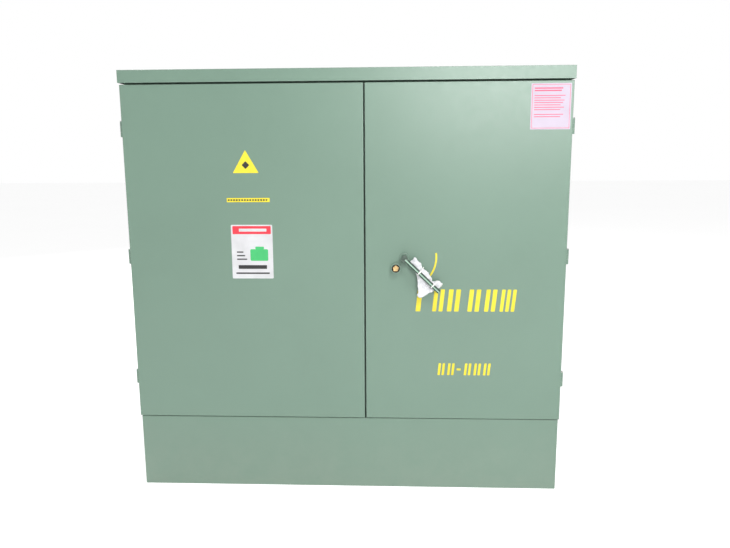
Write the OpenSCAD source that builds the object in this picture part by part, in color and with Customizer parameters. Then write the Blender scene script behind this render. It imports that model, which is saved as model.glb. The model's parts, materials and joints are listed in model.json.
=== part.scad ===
// Pad-mounted transformer: a liquid-filled tank with cooling fins behind a two-door terminal cabinet.
// The frame stands on the pad: origin at the centre of the footprint, +Z up, doors facing -Y,
// +X to the right of a person who faces the doors. All sizes are millimetres.

/* [Cabinet] */
// Width over the doors
unit_w = 1700; // [1400:10:2100]
// Height from the pad to the lower edge of the roof lip
unit_h = 1622; // [1340:1:1960]
// Depth from the front of the lever to the back of the rear fins
unit_d = 1348; // [1120:2:1640]
// Thickness of the cabinet sheet
sheet = 3; // [2:0.5:4]
// Height of the front sill
sill_h = 298; // [200:1:380]
// Height of the roof lip
roof_h = 47; // [36:1:70]
// How far the roof stands proud of the doors at the front
roof_out = 6; // [3:1:20]
// How far the roof stands proud of the doors at each side
roof_side = 4; // [3:1:8]
// Depth of the terminal compartment, from the door faces to the tank
compartment_d = 600; // [500:5:720]
// How far the sill and the cabinet sides are set in from the doors
inset = 3; // [3:0.5:6]

/* [Doors] */
// Where the seam between the doors is, from the middle of the cabinet
seam_x = 75.5; // [-100:0.5:150]
// Gap between the two doors
centre_gap = 6; // [5:0.5:10]
// Gap between the doors and the sill
sill_gap = 3.5; // [3:0.5:8]
// Gap between the doors and the roof lip
top_gap = 6; // [3:0.5:10]
// Depth of a door pan
door_d = 40; // [34:1:50]
// Height of one hinge
hinge_h = 58; // [45:1:90]
// Distance from a door's end to the middle of its end hinges
hinge_in = 165; // [100:1:220]
// Radius of the hinge pins
pin_r = 4; // [3:0.5:4.5]
// Radius of the hinge knuckles
knuckle_r = 7; // [6.5:0.5:7.5]
// How far back from the door face the hinge pins stand
hinge_back = 14; // [12:1:18]
// Clearance of a pin or shaft in its bore, all round
running = 0.05; // [0.02:0.01:0.08]

/* [Latch] */
// Distance from the seam to the handle's shaft
handle_in = 153; // [120:1:220]
// Height of the handle's shaft above the pad
handle_z = 958; // [760:1:1150]
// Length of the lever, from its shaft to its end
lever_l = 185; // [140:1:230]
// Width of the lever
lever_w = 16; // [12:0.5:22]
// Thickness of the lever
lever_t = 12; // [8:0.5:16]
// How far the lever stands out from the door, with its cable ties
lever_out = 48; // [40:1:60]
// Angle of the lever below the horizontal
lever_tilt = 44; // [43:0.5:46]
// Radius of the handle's shaft
shaft_r = 9; // [7:0.5:10]
// Crank radius of the latch cam
crank = 30; // [24:1:34]
// Radius of the latch rods
rod_r = 6; // [5:0.5:7]
// Radius of the lock bolt's shank
lock_r = 6.35; // [5:0.05:8]
// Travel of the lock bolt as it is screwed home
lock_travel = 8; // [6:0.5:10]

/* [Tank] */
// Width of the tank
tank_w = 1560; // [1380:10:1900]
// Distance from the roof lip down to the top of the tank
tank_drop = 62; // [50:1:120]
// Thickness of the tank wall
wall = 5; // [4:0.5:8]
// Thickness of the tank's front plate
plate_t = 10; // [8:1:16]
// How far the rear fins stand out
fin_d = 160; // [100:5:200]
// Number of rear fins
fin_count = 26; // [12:1:36]
// How far the side fins stand out
side_fin_d = 67; // [40:1:80]
// Number of fins on each side
side_fin_count = 7; // [4:1:10]
// Thickness of a fin
fin_t = 9; // [6:1:12]
// Height of the base rails
rail_h = 60; // [40:5:100]
// Oil gap round the coils
oil_gap = 90; // [60:5:110]
// Height of the core
core_h = 720; // [560:10:860]

/* [Terminals] */
// Spacing of the holes in a spade terminal
spade_pitch = 44.45; // [30:0.05:50]
// Diameter of the holes in a spade terminal
spade_hole = 14.3; // [11:0.1:18]
// Diameter of the pad anchor holes
anchor_hole = 22; // [14:1:28]
// Diameter of the holes in the lifting lugs
lug_hole = 32; // [22:1:45]
// Distance that a fuse holder pulls out
fuse_travel = 120; // [80:5:160]

/* [Hidden] */

$fn = 48;
paint = "#8ba796";
steel = "#b9bcbb";
brass = "#b08d57";
copper = "#b4733f";
porcelain = "#6b4a3a";
rubber = "#2b2b2b";
yellow = "#f2d21b";
white = "#f3f3f1";

// Planes along Y, from the lever's front to the back of the fins
half_d = unit_d / 2;
face_y = -half_d + lever_out;
skin_y = face_y + sheet;
pan_y = face_y + door_d;
frame_gap = 8;
pin_y = face_y + hinge_back;
frame_y = pan_y + frame_gap;
tank_y = face_y + compartment_d;
oil_y = tank_y + plate_t;
back_y = half_d - fin_d;

// Planes along X
half_w = unit_w / 2;
side_x = half_w - inset;
side_in = side_x - sheet;
left_edge = seam_x - centre_gap / 2;
right_edge = seam_x + centre_gap / 2;
leaf_gap = 0.5;
hinge_x = half_w + leaf_gap + sheet;

// Heights
door_z = sill_h + sill_gap;
door_top = unit_h - top_gap;
roof_z = unit_h + roof_h - sheet;
tank_top = unit_h - tank_drop;
cover_t = 8;
gasket_t = 4;
cover_top = tank_top + gasket_t + cover_t;
hinge_zs = [door_z + hinge_in, (door_z + door_top) / 2, door_top - hinge_in];

// How far a cut, or the root of a joined piece, runs past a face
over = 1;

// A box between two corners given as ranges along each axis
module block(x, y, z) {
    translate([x[0], y[0], z[0]])
        cube([x[1] - x[0], y[1] - y[0], z[1] - z[0]]);
}

// Round bars along each axis
module bar_x(r, x, y, z) {
    translate([x[0], y, z])
        rotate([0, 90, 0])
            cylinder(r = r, h = x[1] - x[0]);
}
module bar_y(r, x, y, z) {
    translate([x, y[0], z])
        rotate([-90, 0, 0])
            cylinder(r = r, h = y[1] - y[0]);
}
module bar_z(r, x, y, z) {
    translate([x, y, z[0]])
        cylinder(r = r, h = z[1] - z[0]);
}

// Copies a left-hand piece to the right
module both_sides() {
    children();
    mirror([1, 0, 0])
        children();
}

// ---- Tank ----

half_tank = tank_w / 2;
floor_t = 8;
rail_w = 90;
rail_x = side_in - rail_w;
rail_y0 = frame_y + 30;
rail_y1 = back_y;
flange_w = 40;
anchor_x = rail_x + rail_w / 2;
anchor_in = 45;
anchor_y = [rail_y0 + anchor_in, rail_y1 - anchor_in];
foot_t = 8;

// Two base rails of channel with the open side inwards, each with two anchor holes in its foot
module base_rail() {
    difference() {
        block([rail_x, rail_x + rail_w], [rail_y0, rail_y1], [0, rail_h]);
        block([rail_x - over, rail_x + rail_w - foot_t], [rail_y0 - over, rail_y1 + over],
              [foot_t, rail_h - foot_t]);
        for (y = anchor_y)
            bar_z(anchor_hole / 2, anchor_x, y, [-over, foot_t + over]);
        for (y = anchor_y)
            bar_z(anchor_hole, anchor_x, y, [rail_h - foot_t - over, rail_h + over]);
    }
}
module base_rails() {
    color(paint) {
        both_sides()
            base_rail();
        block([-rail_x, rail_x], [rail_y1 - rail_h, rail_y1], [0, rail_h]);
        block([-rail_x, rail_x], [tank_y, tank_y + rail_h], [0, rail_h]);
    }
}

module tank_shell() {
    color(paint) {
        difference() {
            block([-half_tank, half_tank], [oil_y, back_y], [rail_h, tank_top]);
            block([-half_tank + wall, half_tank - wall], [oil_y - over, back_y - wall],
                  [rail_h + floor_t, tank_top + over]);
        }
        difference() {
            block([-half_tank - flange_w / 2, half_tank + flange_w / 2], [oil_y, back_y + flange_w / 2],
                  [tank_top - cover_t, tank_top]);
            block([-half_tank + wall, half_tank - wall], [oil_y - over, back_y - wall],
                  [tank_top - cover_t - over, tank_top + over]);
        }
    }
}

// The front plate carries every terminal; bores are cut for what passes through it
bore_gap = 0.5;
module tank_front_plate() {
    color(paint)
        difference() {
            block([-side_x, side_x], [tank_y, oil_y], [rail_h, tank_top]);
            for (x = hv_xs, z = hv_zs)
                bar_y(hv_neck_r + bore_gap, x, [tank_y - over, oil_y + over], z);
            for (x = lv_xs)
                bar_y(lv_neck_r + bore_gap, x, [tank_y - over, oil_y + over], lv_z);
            for (x = fuse_xs)
                bar_y(fuse_r + bore_gap, x, [tank_y - over, oil_y + over], fuse_z);
            for (x = [switch_x, tap_x])
                bar_y(operator_r + bore_gap, x, [tank_y - over, oil_y + over], fuse_z);
            for (x = gauge_xs)
                bar_y(gauge_neck_r + bore_gap, x, [tank_y - over, oil_y + over], gauge_z);
            bar_y(relief_neck_r + bore_gap, relief_x, [tank_y - over, oil_y + over], gauge_z);
            bar_y(drain_r + bore_gap, drain_x, [tank_y - over, oil_y + over], drain_z);
        }
}

handhole_r = 150;
handhole_lap = 30;
plug_gap = 2;
grip_r = 16;
grip_h = 18;
handhole_y = (oil_y + back_y) / 2;
bolt_in = 20;
bolt_head_r = 10;
bolt_head_h = 8;
flat_washer_lip = 3;
flat_washer_h = 2;
cover_x = half_tank + flange_w / 2;
cover_y = [oil_y, back_y + flange_w / 2];
bolt_cols = 9;
cover_bolt_xs = [for (i = [0:bolt_cols - 1]) (cover_x - bolt_in) * (2 * i / (bolt_cols - 1) - 1)];
side_bolt_ys = [for (i = [1:2]) cover_y[0] + (cover_y[1] - cover_y[0]) * i / 3];

module cover_outline(z) {
    block([-cover_x, cover_x], cover_y, z);
}
module cover_gasket() {
    color(rubber)
        difference() {
            cover_outline([tank_top, tank_top + gasket_t]);
            block([-half_tank + wall, half_tank - wall], [oil_y + bolt_in * 1.5, back_y - wall],
                  [tank_top - over, tank_top + gasket_t + over]);
        }
}
module tank_cover() {
    color(paint)
        difference() {
            cover_outline([tank_top + gasket_t, cover_top]);
            bar_z(handhole_r - handhole_lap, 0, handhole_y, [tank_top, cover_top + over]);
        }
}
module handhole_cover() {
    color(paint) {
        bar_z(handhole_r, 0, handhole_y, [cover_top, cover_top + cover_t]);
        bar_z(handhole_r - handhole_lap - plug_gap, 0, handhole_y, [cover_top - cover_t + over, cover_top]);
        bar_z(grip_r, 0, handhole_y, [cover_top + cover_t, cover_top + cover_t + grip_h]);
    }
}

// A hexagon bolt head that stands on a plane
module bolt_head(x, y, z) {
    translate([x, y, z])
        cylinder(r = bolt_head_r, h = bolt_head_h, $fn = 6);
    translate([x, y, z])
        cylinder(r = bolt_head_r + flat_washer_lip, h = flat_washer_h);
}
handhole_bolts = 8;
handhole_bolt_in = 16;
module bolts() {
    color(steel) {
        for (x = cover_bolt_xs, y = [cover_y[1] - bolt_in])
            bolt_head(x, y, cover_top);
        for (x = [-cover_x + bolt_in, cover_x - bolt_in], y = side_bolt_ys)
            bolt_head(x, y, cover_top);
        for (i = [0:handhole_bolts - 1])
            bolt_head((handhole_r - handhole_bolt_in) * cos(i * 360 / handhole_bolts),
                      handhole_y + (handhole_r - handhole_bolt_in) * sin(i * 360 / handhole_bolts),
                      cover_top + cover_t);
    }
}

// The lugs' holes stand further out than the tank's flange
lug_t = 14;
lug_w = 90;
lug_drop = 120;
lug_z = tank_top - lug_drop;
lug_clear = 2;
lug_reach = flange_w + lug_hole + 2 * lug_clear;
lug_in = 90;
lug_ys = [oil_y + lug_in, back_y - lug_in];
module lifting_lugs() {
    color(paint)
        both_sides()
            for (y = lug_ys)
                difference() {
                    union() {
                        block([half_tank, half_tank + lug_reach / 2], [y - lug_t / 2, y + lug_t / 2],
                              [lug_z - lug_w / 2, lug_z + lug_w / 2]);
                        bar_y(lug_reach / 2, half_tank + lug_reach / 2, [y - lug_t / 2, y + lug_t / 2],
                              lug_z);
                    }
                    bar_y(lug_hole / 2, half_tank + lug_reach / 2, [y - lug_t, y + lug_t], lug_z);
                }
}

fin_ends = [120, 110];
fin_z = [rail_h + fin_ends[0], tank_top - fin_ends[1]];
fin_pitch = (tank_w - 2 * fin_t) / fin_count;
fin_to_lug = [30, 20];
side_fin_y0 = lug_ys[0] + fin_to_lug[0];
side_fin_y1 = lug_ys[1] - fin_to_lug[0];
side_fin_pitch = (side_fin_y1 - side_fin_y0) / (side_fin_count - 1);
side_fin_z = [fin_z[0], lug_z - lug_w / 2 - fin_to_lug[1]];
module cooling_fins() {
    color(paint) {
        for (i = [0:fin_count - 1])
            block([-half_tank + fin_t + (i + 0.5) * fin_pitch - fin_t / 2,
                   -half_tank + fin_t + (i + 0.5) * fin_pitch + fin_t / 2], [back_y, half_d], fin_z);
        both_sides()
            for (y = [for (i = [0:side_fin_count - 1]) side_fin_y0 + i * side_fin_pitch])
                block([half_tank, half_tank + side_fin_d], [y - fin_t / 2, y + fin_t / 2], side_fin_z);
    }
}

// ---- Core and coils, in the oil ----

oil_d = back_y - wall - oil_y;
oil_mid = (oil_y + back_y - wall) / 2;
limb_pitch = (tank_w - 2 * wall) / 3;
coil_r = min(oil_d, limb_pitch) / 2 - oil_gap;
limb_share = 0.6;
limb_w = coil_r * limb_share;
coil_gap = 8;
lv_in_r = limb_w * sqrt(2) / 2 + coil_gap;
lv_share = 0.4;
lv_out_r = lv_in_r + (coil_r - lv_in_r) * lv_share;
hv_in_r = lv_out_r + coil_gap;
core_lift = 40;
core_z = rail_h + floor_t + core_lift;
core_top = core_z + core_h;
coil_z = [core_z + limb_w + coil_gap, core_top - limb_w - coil_gap];
clamp_t = 12;
clamp_short = 4;
limb_xs = [-limb_pitch, 0, limb_pitch];

module core() {
    color("#55585c") {
        for (x = limb_xs)
            block([x - limb_w / 2, x + limb_w / 2], [oil_mid - limb_w / 2, oil_mid + limb_w / 2],
                  [core_z, core_top]);
        for (z = [core_z, core_top - limb_w])
            block([-limb_pitch, limb_pitch], [oil_mid - limb_w / 2, oil_mid + limb_w / 2], [z, z + limb_w]);
    }
}
module core_clamps() {
    color(steel)
        for (s = [-1, 1]) {
            y = oil_mid + s * (limb_w / 2 + clamp_t / 2);
            for (z = [core_z, core_top - limb_w])
                block([-limb_pitch - limb_w / 2, limb_pitch + limb_w / 2],
                      [y - clamp_t / 2, y + clamp_t / 2], [z, z + limb_w - clamp_short]);
            block([-limb_pitch - limb_w / 2, -limb_pitch + limb_w / 2], [y - clamp_t / 2, y + clamp_t / 2],
                  [rail_h + floor_t, core_z]);
            block([limb_pitch - limb_w / 2, limb_pitch + limb_w / 2], [y - clamp_t / 2, y + clamp_t / 2],
                  [rail_h + floor_t, core_z]);
        }
}
module coil_ring(in_r, out_r, z) {
    for (x = limb_xs)
        difference() {
            bar_z(out_r, x, oil_mid, z);
            bar_z(in_r, x, oil_mid, [z[0] - over, z[1] + over]);
        }
}
module lv_coils() {
    color(copper)
        coil_ring(lv_in_r, lv_out_r, coil_z);
}
module hv_coils() {
    color("#9a5b2e")
        coil_ring(hv_in_r, coil_r, coil_z);
}
lead_r = 5;
stud_in = 12;
lead_y = oil_y + 25;
lead_start = core_top + 20;
lead_in = oil_y + stud_in;

// The upright part of a lead, from above the core to one terminal or to a pair, low and high
module riser(x, low, high) {
    bar_z(lead_r, x, lead_y, [min(lead_start, low), max(lead_start, high)]);
}
module leads() {
    color(copper) {
        for (x = hv_xs, z = hv_zs)
            bar_y(lead_r, x, [lead_in, lead_y + lead_r], z);
        for (x = hv_xs)
            riser(x, hv_zs[0], hv_zs[1]);
        for (x = lv_xs) {
            bar_y(lead_r, x, [lead_in, lead_y + lead_r], lv_z);
            riser(x, lv_z, lv_z);
        }
    }
}

// ---- Cabinet ----

lip = 30;
hinge_relief_gap = 1.5;
hinge_relief = knuckle_r + hinge_relief_gap;
pin_head_h = 3;
hinge_end_gap = 2;
hinge_room = hinge_h / 2 + pin_head_h + hinge_end_gap;

// Closes the slit beside the tank cover, down to the tank's top
ear_gap = 2;
ear_ends = [20, 6];
ear_in = min(cover_x + ear_gap, side_in - lip);
ear_z = [tank_top - ear_ends[0], cover_top + ear_ends[1]];

// Cuts the room that the hinge knuckles turn in
module hinge_cuts() {
    for (z = hinge_zs)
        bar_z(hinge_relief, -hinge_x, pin_y, [z - hinge_room, z + hinge_room]);
}
module cabinet_side() {
    block([-side_x, -side_in], [frame_y, tank_y], [0, roof_z]);
    block([-side_in, -side_in + lip], [frame_y, frame_y + sheet], [sill_h, tank_top]);
    block([-side_in, -side_in + lip], [tank_y - sheet, tank_y], [rail_h, ear_z[1]]);
    block([-side_in, -ear_in], [tank_y - sheet, tank_y], ear_z);
}
module left_cabinet_side() {
    color(paint)
        cabinet_side();
}
module right_cabinet_side() {
    color(paint)
        mirror([1, 0, 0])
            cabinet_side();
}

header_z = tank_top;
header_d = 38;
strike_gap = 2;
strike_r = rod_r + strike_gap;
module header() {
    color(paint)
        difference() {
            union() {
                block([-side_in, side_in], [frame_y, frame_y + sheet], [header_z, roof_z]);
                block([-side_in, side_in], [frame_y, frame_y + header_d], [header_z, header_z + sheet]);
                block([-side_in, side_in], [frame_y, frame_y + header_d], [roof_z - sheet, roof_z]);
            }
            bar_z(strike_r, upper_x, rod_y, [header_z - over, header_z + sheet + over]);
        }
}

sill_y = face_y + roof_out;
sill_shelf = 72;
module front_sill() {
    color(paint)
        difference() {
            union() {
                block([-side_x, side_x], [sill_y, sill_y + sheet], [0, sill_h]);
                block([-side_x, side_x], [sill_y, sill_y + sill_shelf], [sill_h - sheet, sill_h]);
                both_sides()
                    block([side_in, side_x], [sill_y, frame_y], [0, sill_h]);
                both_sides()
                    block([side_in - lip, side_in - 0.01], [frame_y - sheet, frame_y], [0, sill_h - sheet]);
            }
            both_sides()
                block([side_in, side_x + over], [frame_y, frame_y + sill_shelf], [0, sill_h + over]);
            both_sides()
                block([side_in - lip - over, side_in + over], [frame_y, frame_y + sheet],
                      [sill_h - sheet, sill_h + over]);
            bar_z(strike_r, lower_x, rod_y, [sill_h - sheet - over, sill_h + over]);
        }
}

post_w = 70;
module barrier() {
    color(paint) {
        block([seam_x - sheet / 2, seam_x + sheet / 2], [frame_y + sheet, tank_y], [sill_h, tank_top]);
        block([seam_x - post_w / 2, seam_x + post_w / 2], [frame_y, frame_y + sheet],
              [sill_h, header_z]);
        block([seam_x - sheet / 2, seam_x + sheet / 2], [sill_y + sill_shelf, tank_y], [rail_h, sill_h]);
    }
}

roof_x = half_w + roof_side;
roof_y0 = face_y - roof_out;
roof_lap = 40;
roof_y1 = tank_y + roof_lap;
module roof() {
    color(paint) {
        block([-roof_x, roof_x], [roof_y0, roof_y1], [roof_z, roof_z + sheet]);
        block([-roof_x, roof_x], [roof_y0, roof_y0 + sheet], [unit_h, roof_z]);
        both_sides()
            block([roof_x - sheet, roof_x], [roof_y0, roof_y1], [unit_h, roof_z]);
        block([-roof_x, roof_x], [roof_y1 - sheet, roof_y1], [cover_top, roof_z]);
    }
}

// ---- Hinges ----

knuckle_gap = 0.5;
knuckle_h = hinge_h / 3 - knuckle_gap;
knuckle_room_gap = 0.8;
leaf_l = 64;
pad_gap = 2;
skin_gap = 1;
pin_head_lip = 2;
tab_t = 6;

// One knuckle of a left hinge, numbered from the bottom
module knuckle(z, n) {
    z0 = z - hinge_h / 2 + n * hinge_h / 3 + knuckle_gap / 2;
    bar_z(knuckle_r, -hinge_x, pin_y, [z0, z0 + knuckle_h]);
}
module knuckle_room(z, n) {
    z0 = z - hinge_h / 2 + n * hinge_h / 3 - knuckle_gap / 2;
    bar_z(knuckle_r + knuckle_room_gap, -hinge_x, pin_y, [z0, z0 + hinge_h / 3 + knuckle_gap]);
}
module pin_bore(z) {
    bar_z(pin_r + running, -hinge_x, pin_y, [z - hinge_h, z + hinge_h]);
}

// The fixed leaf passes outside the door's flange to a pad on the cabinet side, and has the two end knuckles
module left_frame_leaves() {
    for (z = hinge_zs)
        difference() {
            union() {
                difference() {
                    union() {
                        block([-hinge_x, -hinge_x + sheet], [pin_y, pin_y + leaf_l],
                              [z - hinge_h / 2, z + hinge_h / 2]);
                        block([-hinge_x, -side_x], [frame_y + pad_gap, pin_y + leaf_l],
                              [z - hinge_h / 2, z + hinge_h / 2]);
                    }
                    knuckle_room(z, 1);
                }
                knuckle(z, 0);
                knuckle(z, 2);
            }
            pin_bore(z);
        }
}
module frame_hinge_leaves() {
    color(paint)
        both_sides()
            left_frame_leaves();
}
module hinge_pins() {
    color(steel)
        both_sides()
            for (z = hinge_zs) {
                bar_z(pin_r, -hinge_x, pin_y, [z - hinge_h / 2, z + hinge_h / 2]);
                bar_z(pin_r + pin_head_lip, -hinge_x, pin_y,
                      [z + hinge_h / 2, z + hinge_h / 2 + pin_head_h]);
            }
}

// The moving leaf lies inside the door's flange, with a tab out to the middle knuckle
module left_leaves() {
    for (z = hinge_zs)
        difference() {
            union() {
                difference() {
                    block([-half_w + sheet, -half_w + 2 * sheet], [skin_y + skin_gap, pan_y - 2 * sheet],
                          [z - hinge_h / 2, z + hinge_h / 2]);
                    knuckle_room(z, 0);
                    knuckle_room(z, 2);
                }
                block([-hinge_x, -half_w + 2 * sheet], [pin_y - tab_t / 2, pin_y + tab_t / 2],
                      [z - knuckle_h / 2, z + knuckle_h / 2]);
                knuckle(z, 1);
            }
            pin_bore(z);
        }
}
module left_door_leaves() {
    color(paint)
        left_leaves();
}
module right_door_leaves() {
    color(paint)
        mirror([1, 0, 0])
            left_leaves();
}

// ---- Doors ----

// A folded pan that is open at the back, with a return lip round its open edge
return_w = 14;
module door_pan(x) {
    difference() {
        block(x, [face_y, pan_y], [door_z, door_top]);
        block([x[0] + sheet, x[1] - sheet], [skin_y, pan_y - sheet], [door_z + sheet, door_top - sheet]);
        block([x[0] + sheet + return_w, x[1] - sheet - return_w], [skin_y, pan_y + over],
              [door_z + sheet + return_w, door_top - sheet - return_w]);
    }
}
module left_door() {
    color(paint)
        difference() {
            door_pan([-half_w, left_edge]);
            hinge_cuts();
        }
}
module right_door() {
    color(paint)
        difference() {
            door_pan([right_edge, half_w]);
            mirror([1, 0, 0])
                hinge_cuts();
            bar_y(shaft_r + running, handle_x, [face_y - over, skin_y + over], handle_z);
            bar_y(lock_r + lock_gap, lock_x, [face_y - over, skin_y + over], lock_z);
        }
}

stiffener_w = 60;
stiffener_d = 22;
stiffener_in = 90;
stiffener_z = [door_z + stiffener_in, door_top - stiffener_in];

// A hat channel that stiffens a door's skin from inside
module stiffener(x) {
    difference() {
        block([x - stiffener_w / 2, x + stiffener_w / 2], [skin_y, skin_y + stiffener_d], stiffener_z);
        block([x - stiffener_w / 2 + sheet, x + stiffener_w / 2 - sheet],
              [skin_y - over, skin_y + stiffener_d - sheet], [stiffener_z[0] - over, stiffener_z[1] + over]);
    }
}
module left_stiffeners() {
    color(paint)
        for (i = [1:2])
            stiffener(-half_w + (left_edge + half_w) * i / 3);
}

guide_t = 12;
guide_w = 30;
guide_foot = 18;
guide_gap = 0.3;
guide_near = 120;
guide_zs = [door_z + 60, handle_z - guide_near, handle_z + guide_near, door_top - 90];
module rod_guide(x, z) {
    difference() {
        union() {
            block([x - guide_w / 2, x + guide_w / 2], [skin_y, skin_y + sheet],
                  [z - guide_foot, z + guide_foot]);
            block([x - guide_w / 2, x + guide_w / 2], [skin_y, rod_y + rod_r + sheet],
                  [z - guide_t / 2, z + guide_t / 2]);
        }
        bar_z(rod_r + guide_gap, x, rod_y, [z - guide_t, z + guide_t]);
    }
}
module right_stiffeners() {
    color(paint) {
        stiffener(half_w - (half_w - right_edge) / 4);
        rod_guide(lower_x, guide_zs[0]);
        rod_guide(lower_x, guide_zs[1]);
        rod_guide(upper_x, guide_zs[2]);
        rod_guide(upper_x, guide_zs[3]);
    }
}

// ---- Latch ----

handle_x = seam_x + handle_in;
boss_h = 8;
boss_r = 17;
rod_y = frame_y + 2 * rod_r;
cam_t = 6;
cam_gap = 2;
cam_y = [rod_y - rod_r - cam_gap - cam_t, rod_y - rod_r - cam_gap];
cam_pin_r = 4;
slot_gap = 1.3;
end_t = 6;
end_h = 28;
end_walls = [8, 2];
upper_x = handle_x - crank;
lower_x = handle_x + crank;
swing = 45;
slot_run = crank * (1 - cos(swing));
tip_gap = 6;
upper_tip = header_z - tip_gap;
lower_tip = sill_h + tip_gap;

lock_from_handle = [33, 41];
lock_x = handle_x - lock_from_handle[0];
lock_z = handle_z - lock_from_handle[1];
lock_gap = 1;
collar_r = 19;
collar_h = 20;
collar_wall = 3;
nut_h = 14;
nut_wall = 6;
nut_half = 12;
nut_plate_t = 4;
lock_clear = 4;
lock_tip = cam_y[0] - lock_clear;
nut_y = lock_tip - nut_h;
washer_t = 2;

module lock_collar() {
    color(paint) {
        difference() {
            bar_y(collar_r, lock_x, [face_y - collar_h, face_y], lock_z);
            bar_y(collar_r - collar_wall, lock_x, [face_y - collar_h - over, face_y + over], lock_z);
        }
        difference() {
            bar_y(boss_r, handle_x, [face_y - boss_h, face_y], handle_z);
            bar_y(shaft_r + running, handle_x, [face_y - boss_h - over, face_y + over], handle_z);
        }
        difference() {
            union() {
                bar_y(lock_r + nut_wall, lock_x, [nut_y, lock_tip], lock_z);
                block([lock_x - nut_half, lock_x + nut_half], [skin_y, nut_y + nut_plate_t],
                      [lock_z - nut_half, lock_z - nut_half + 3]);
                block([lock_x - nut_half, lock_x + nut_half], [nut_y, nut_y + nut_plate_t],
                      [lock_z - nut_half, lock_z + nut_half]);
            }
            bar_y(lock_r + running, lock_x, [skin_y - over, lock_tip + over], lock_z);
        }
    }
}

lock_head_r = 12.5;
lock_head_h = 9;
head_gap = 1;
washer_r = collar_r - collar_wall - head_gap;
head_y = face_y - lock_travel - washer_t - head_gap;
module lock_bolt() {
    color(brass) {
        translate([lock_x, head_y - lock_head_h, lock_z])
            rotate([-90, 0, 0])
                cylinder(r = lock_head_r, h = lock_head_h, $fn = 5);
        bar_y(lock_r, lock_x, [head_y - 0.01, lock_tip], lock_z);
    }
}
module lock_washer() {
    color(brass)
        difference() {
            bar_y(washer_r, lock_x, [head_y, head_y + washer_t], lock_z);
            bar_y(lock_r + running, lock_x, [head_y - over, head_y + washer_t + over], lock_z);
        }
}

tie_t = 1.2;
lever_y = [-half_d + tie_t, -half_d + tie_t + lever_t];
hub_r = 12;
hub_gap = 0.5;
rib_w = 6;
rim_h = 3;

// Places a child in the lever's frame: +X along the lever, +Y up and across it, +Z away from the door
module on_lever() {
    translate([handle_x, 0, handle_z])
        rotate([90, 0, 0])
            rotate([0, 0, -lever_tilt])
                children();
}
module lever() {
    color(paint) {
        on_lever()
            rotate([90, 0, 90])
                linear_extrude(height = lever_l)
                    polygon([[-lever_w / 2, -lever_y[1]], [lever_w / 2, -lever_y[1]],
                             [lever_w / 2, -lever_y[1] + rim_h], [rib_w / 2, -lever_y[0]],
                             [-rib_w / 2, -lever_y[0]], [-lever_w / 2, -lever_y[1] + rim_h]]);
        bar_y(hub_r, handle_x, [lever_y[0], face_y - boss_h - hub_gap], handle_z);
        bar_y(shaft_r, handle_x, [face_y - boss_h - over, cam_y[0]], handle_z);
    }
}
cam_w = 18;
cam_arm = norm([handle_x - lock_x, handle_z - lock_z]) + lock_r;

// The long arm stops the handle from opening while the lock bolt is home
module latch_cam() {
    color(steel) {
        block([handle_x - cam_arm, handle_x + crank + cam_w / 2], cam_y,
              [handle_z - cam_w / 2, handle_z + cam_w / 2]);
        for (x = [upper_x, lower_x])
            bar_y(cam_pin_r, x, [cam_y[1], rod_y + end_t / 2 + 3], handle_z);
    }
}

// A latch rod: an end plate with a slot for the cam's pin, and a round bar to its strike
module latch_rod(x, inward, tip) {
    up = tip > handle_z ? 1 : -1;
    slot = [-cam_pin_r - slot_gap, cam_pin_r + slot_gap + slot_run];
    plate = [slot[0] - end_walls[0], slot[1] + end_walls[1]];
    end_z = [handle_z - end_h / 2, handle_z + end_h / 2];
    difference() {
        union() {
            block(inward > 0 ? [x + plate[0], x + plate[1]] : [x - plate[1], x - plate[0]],
                  [rod_y - end_t / 2, rod_y + end_t / 2], end_z);
            bar_z(rod_r, x, rod_y, up > 0 ? [end_z[1] - over, tip] : [tip, end_z[0] + over]);
        }
        block(inward > 0 ? [x + slot[0], x + slot[1]] : [x - slot[1], x - slot[0]],
              [rod_y - end_t, rod_y + end_t],
              [handle_z - cam_pin_r - slot_gap, handle_z + cam_pin_r + slot_gap]);
    }
}
module upper_rod() {
    color(steel)
        latch_rod(upper_x, 1, upper_tip);
}
module lower_rod() {
    color(steel)
        latch_rod(lower_x, -1, lower_tip);
}

// ---- High-voltage compartment ----

plate_lip = 64;
hv_in = 60;
front_half = min(side_in, half_tank + plate_lip);
hv_x0 = -front_half + hv_in;
hv_x1 = seam_x - hv_in;
hv_neck_r = 38;
hv_xs = [for (i = [0:2]) hv_x0 + (hv_x1 - hv_x0) * (i + 0.5) / 3];
hv_drops = [700, 470];
hv_zs = [tank_top - hv_drops[0], tank_top - hv_drops[1]];
hv_out = 95;
hv_base_t = 8;
hv_base_lip = 22;
module hv_bushings() {
    color(porcelain)
        for (x = hv_xs, z = hv_zs) {
            bar_y(hv_neck_r, x, [tank_y - hv_base_t, oil_y + stud_in], z);
            bar_y(hv_neck_r + hv_base_lip, x, [tank_y - hv_base_t, tank_y], z);
            translate([x, tank_y - hv_base_t, z])
                rotate([90, 0, 0])
                    rotate_extrude()
                        polygon([[0, 0], [hv_neck_r + 6, 0], [hv_neck_r + 6, 14], [hv_neck_r - 4, 26],
                                 [26, 30], [20, hv_out - 12], [16, hv_out - 12], [16, hv_out], [0, hv_out]]);
        }
}
stand_w = 46;
stand_t = 4;
stand_out = 40;
stand_x = hv_neck_r + 55;
module parking_stands() {
    color(steel)
        for (x = hv_xs)
            translate([x + stand_x, 0, hv_zs[1]]) {
                block([-stand_w / 2, stand_w / 2], [tank_y - stand_t, tank_y], [-stand_w / 2, stand_w / 2]);
                block([-stand_w / 2, stand_w / 2], [tank_y - stand_out, tank_y],
                      [-stand_w / 2, -stand_w / 2 + stand_t]);
            }
}

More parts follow.
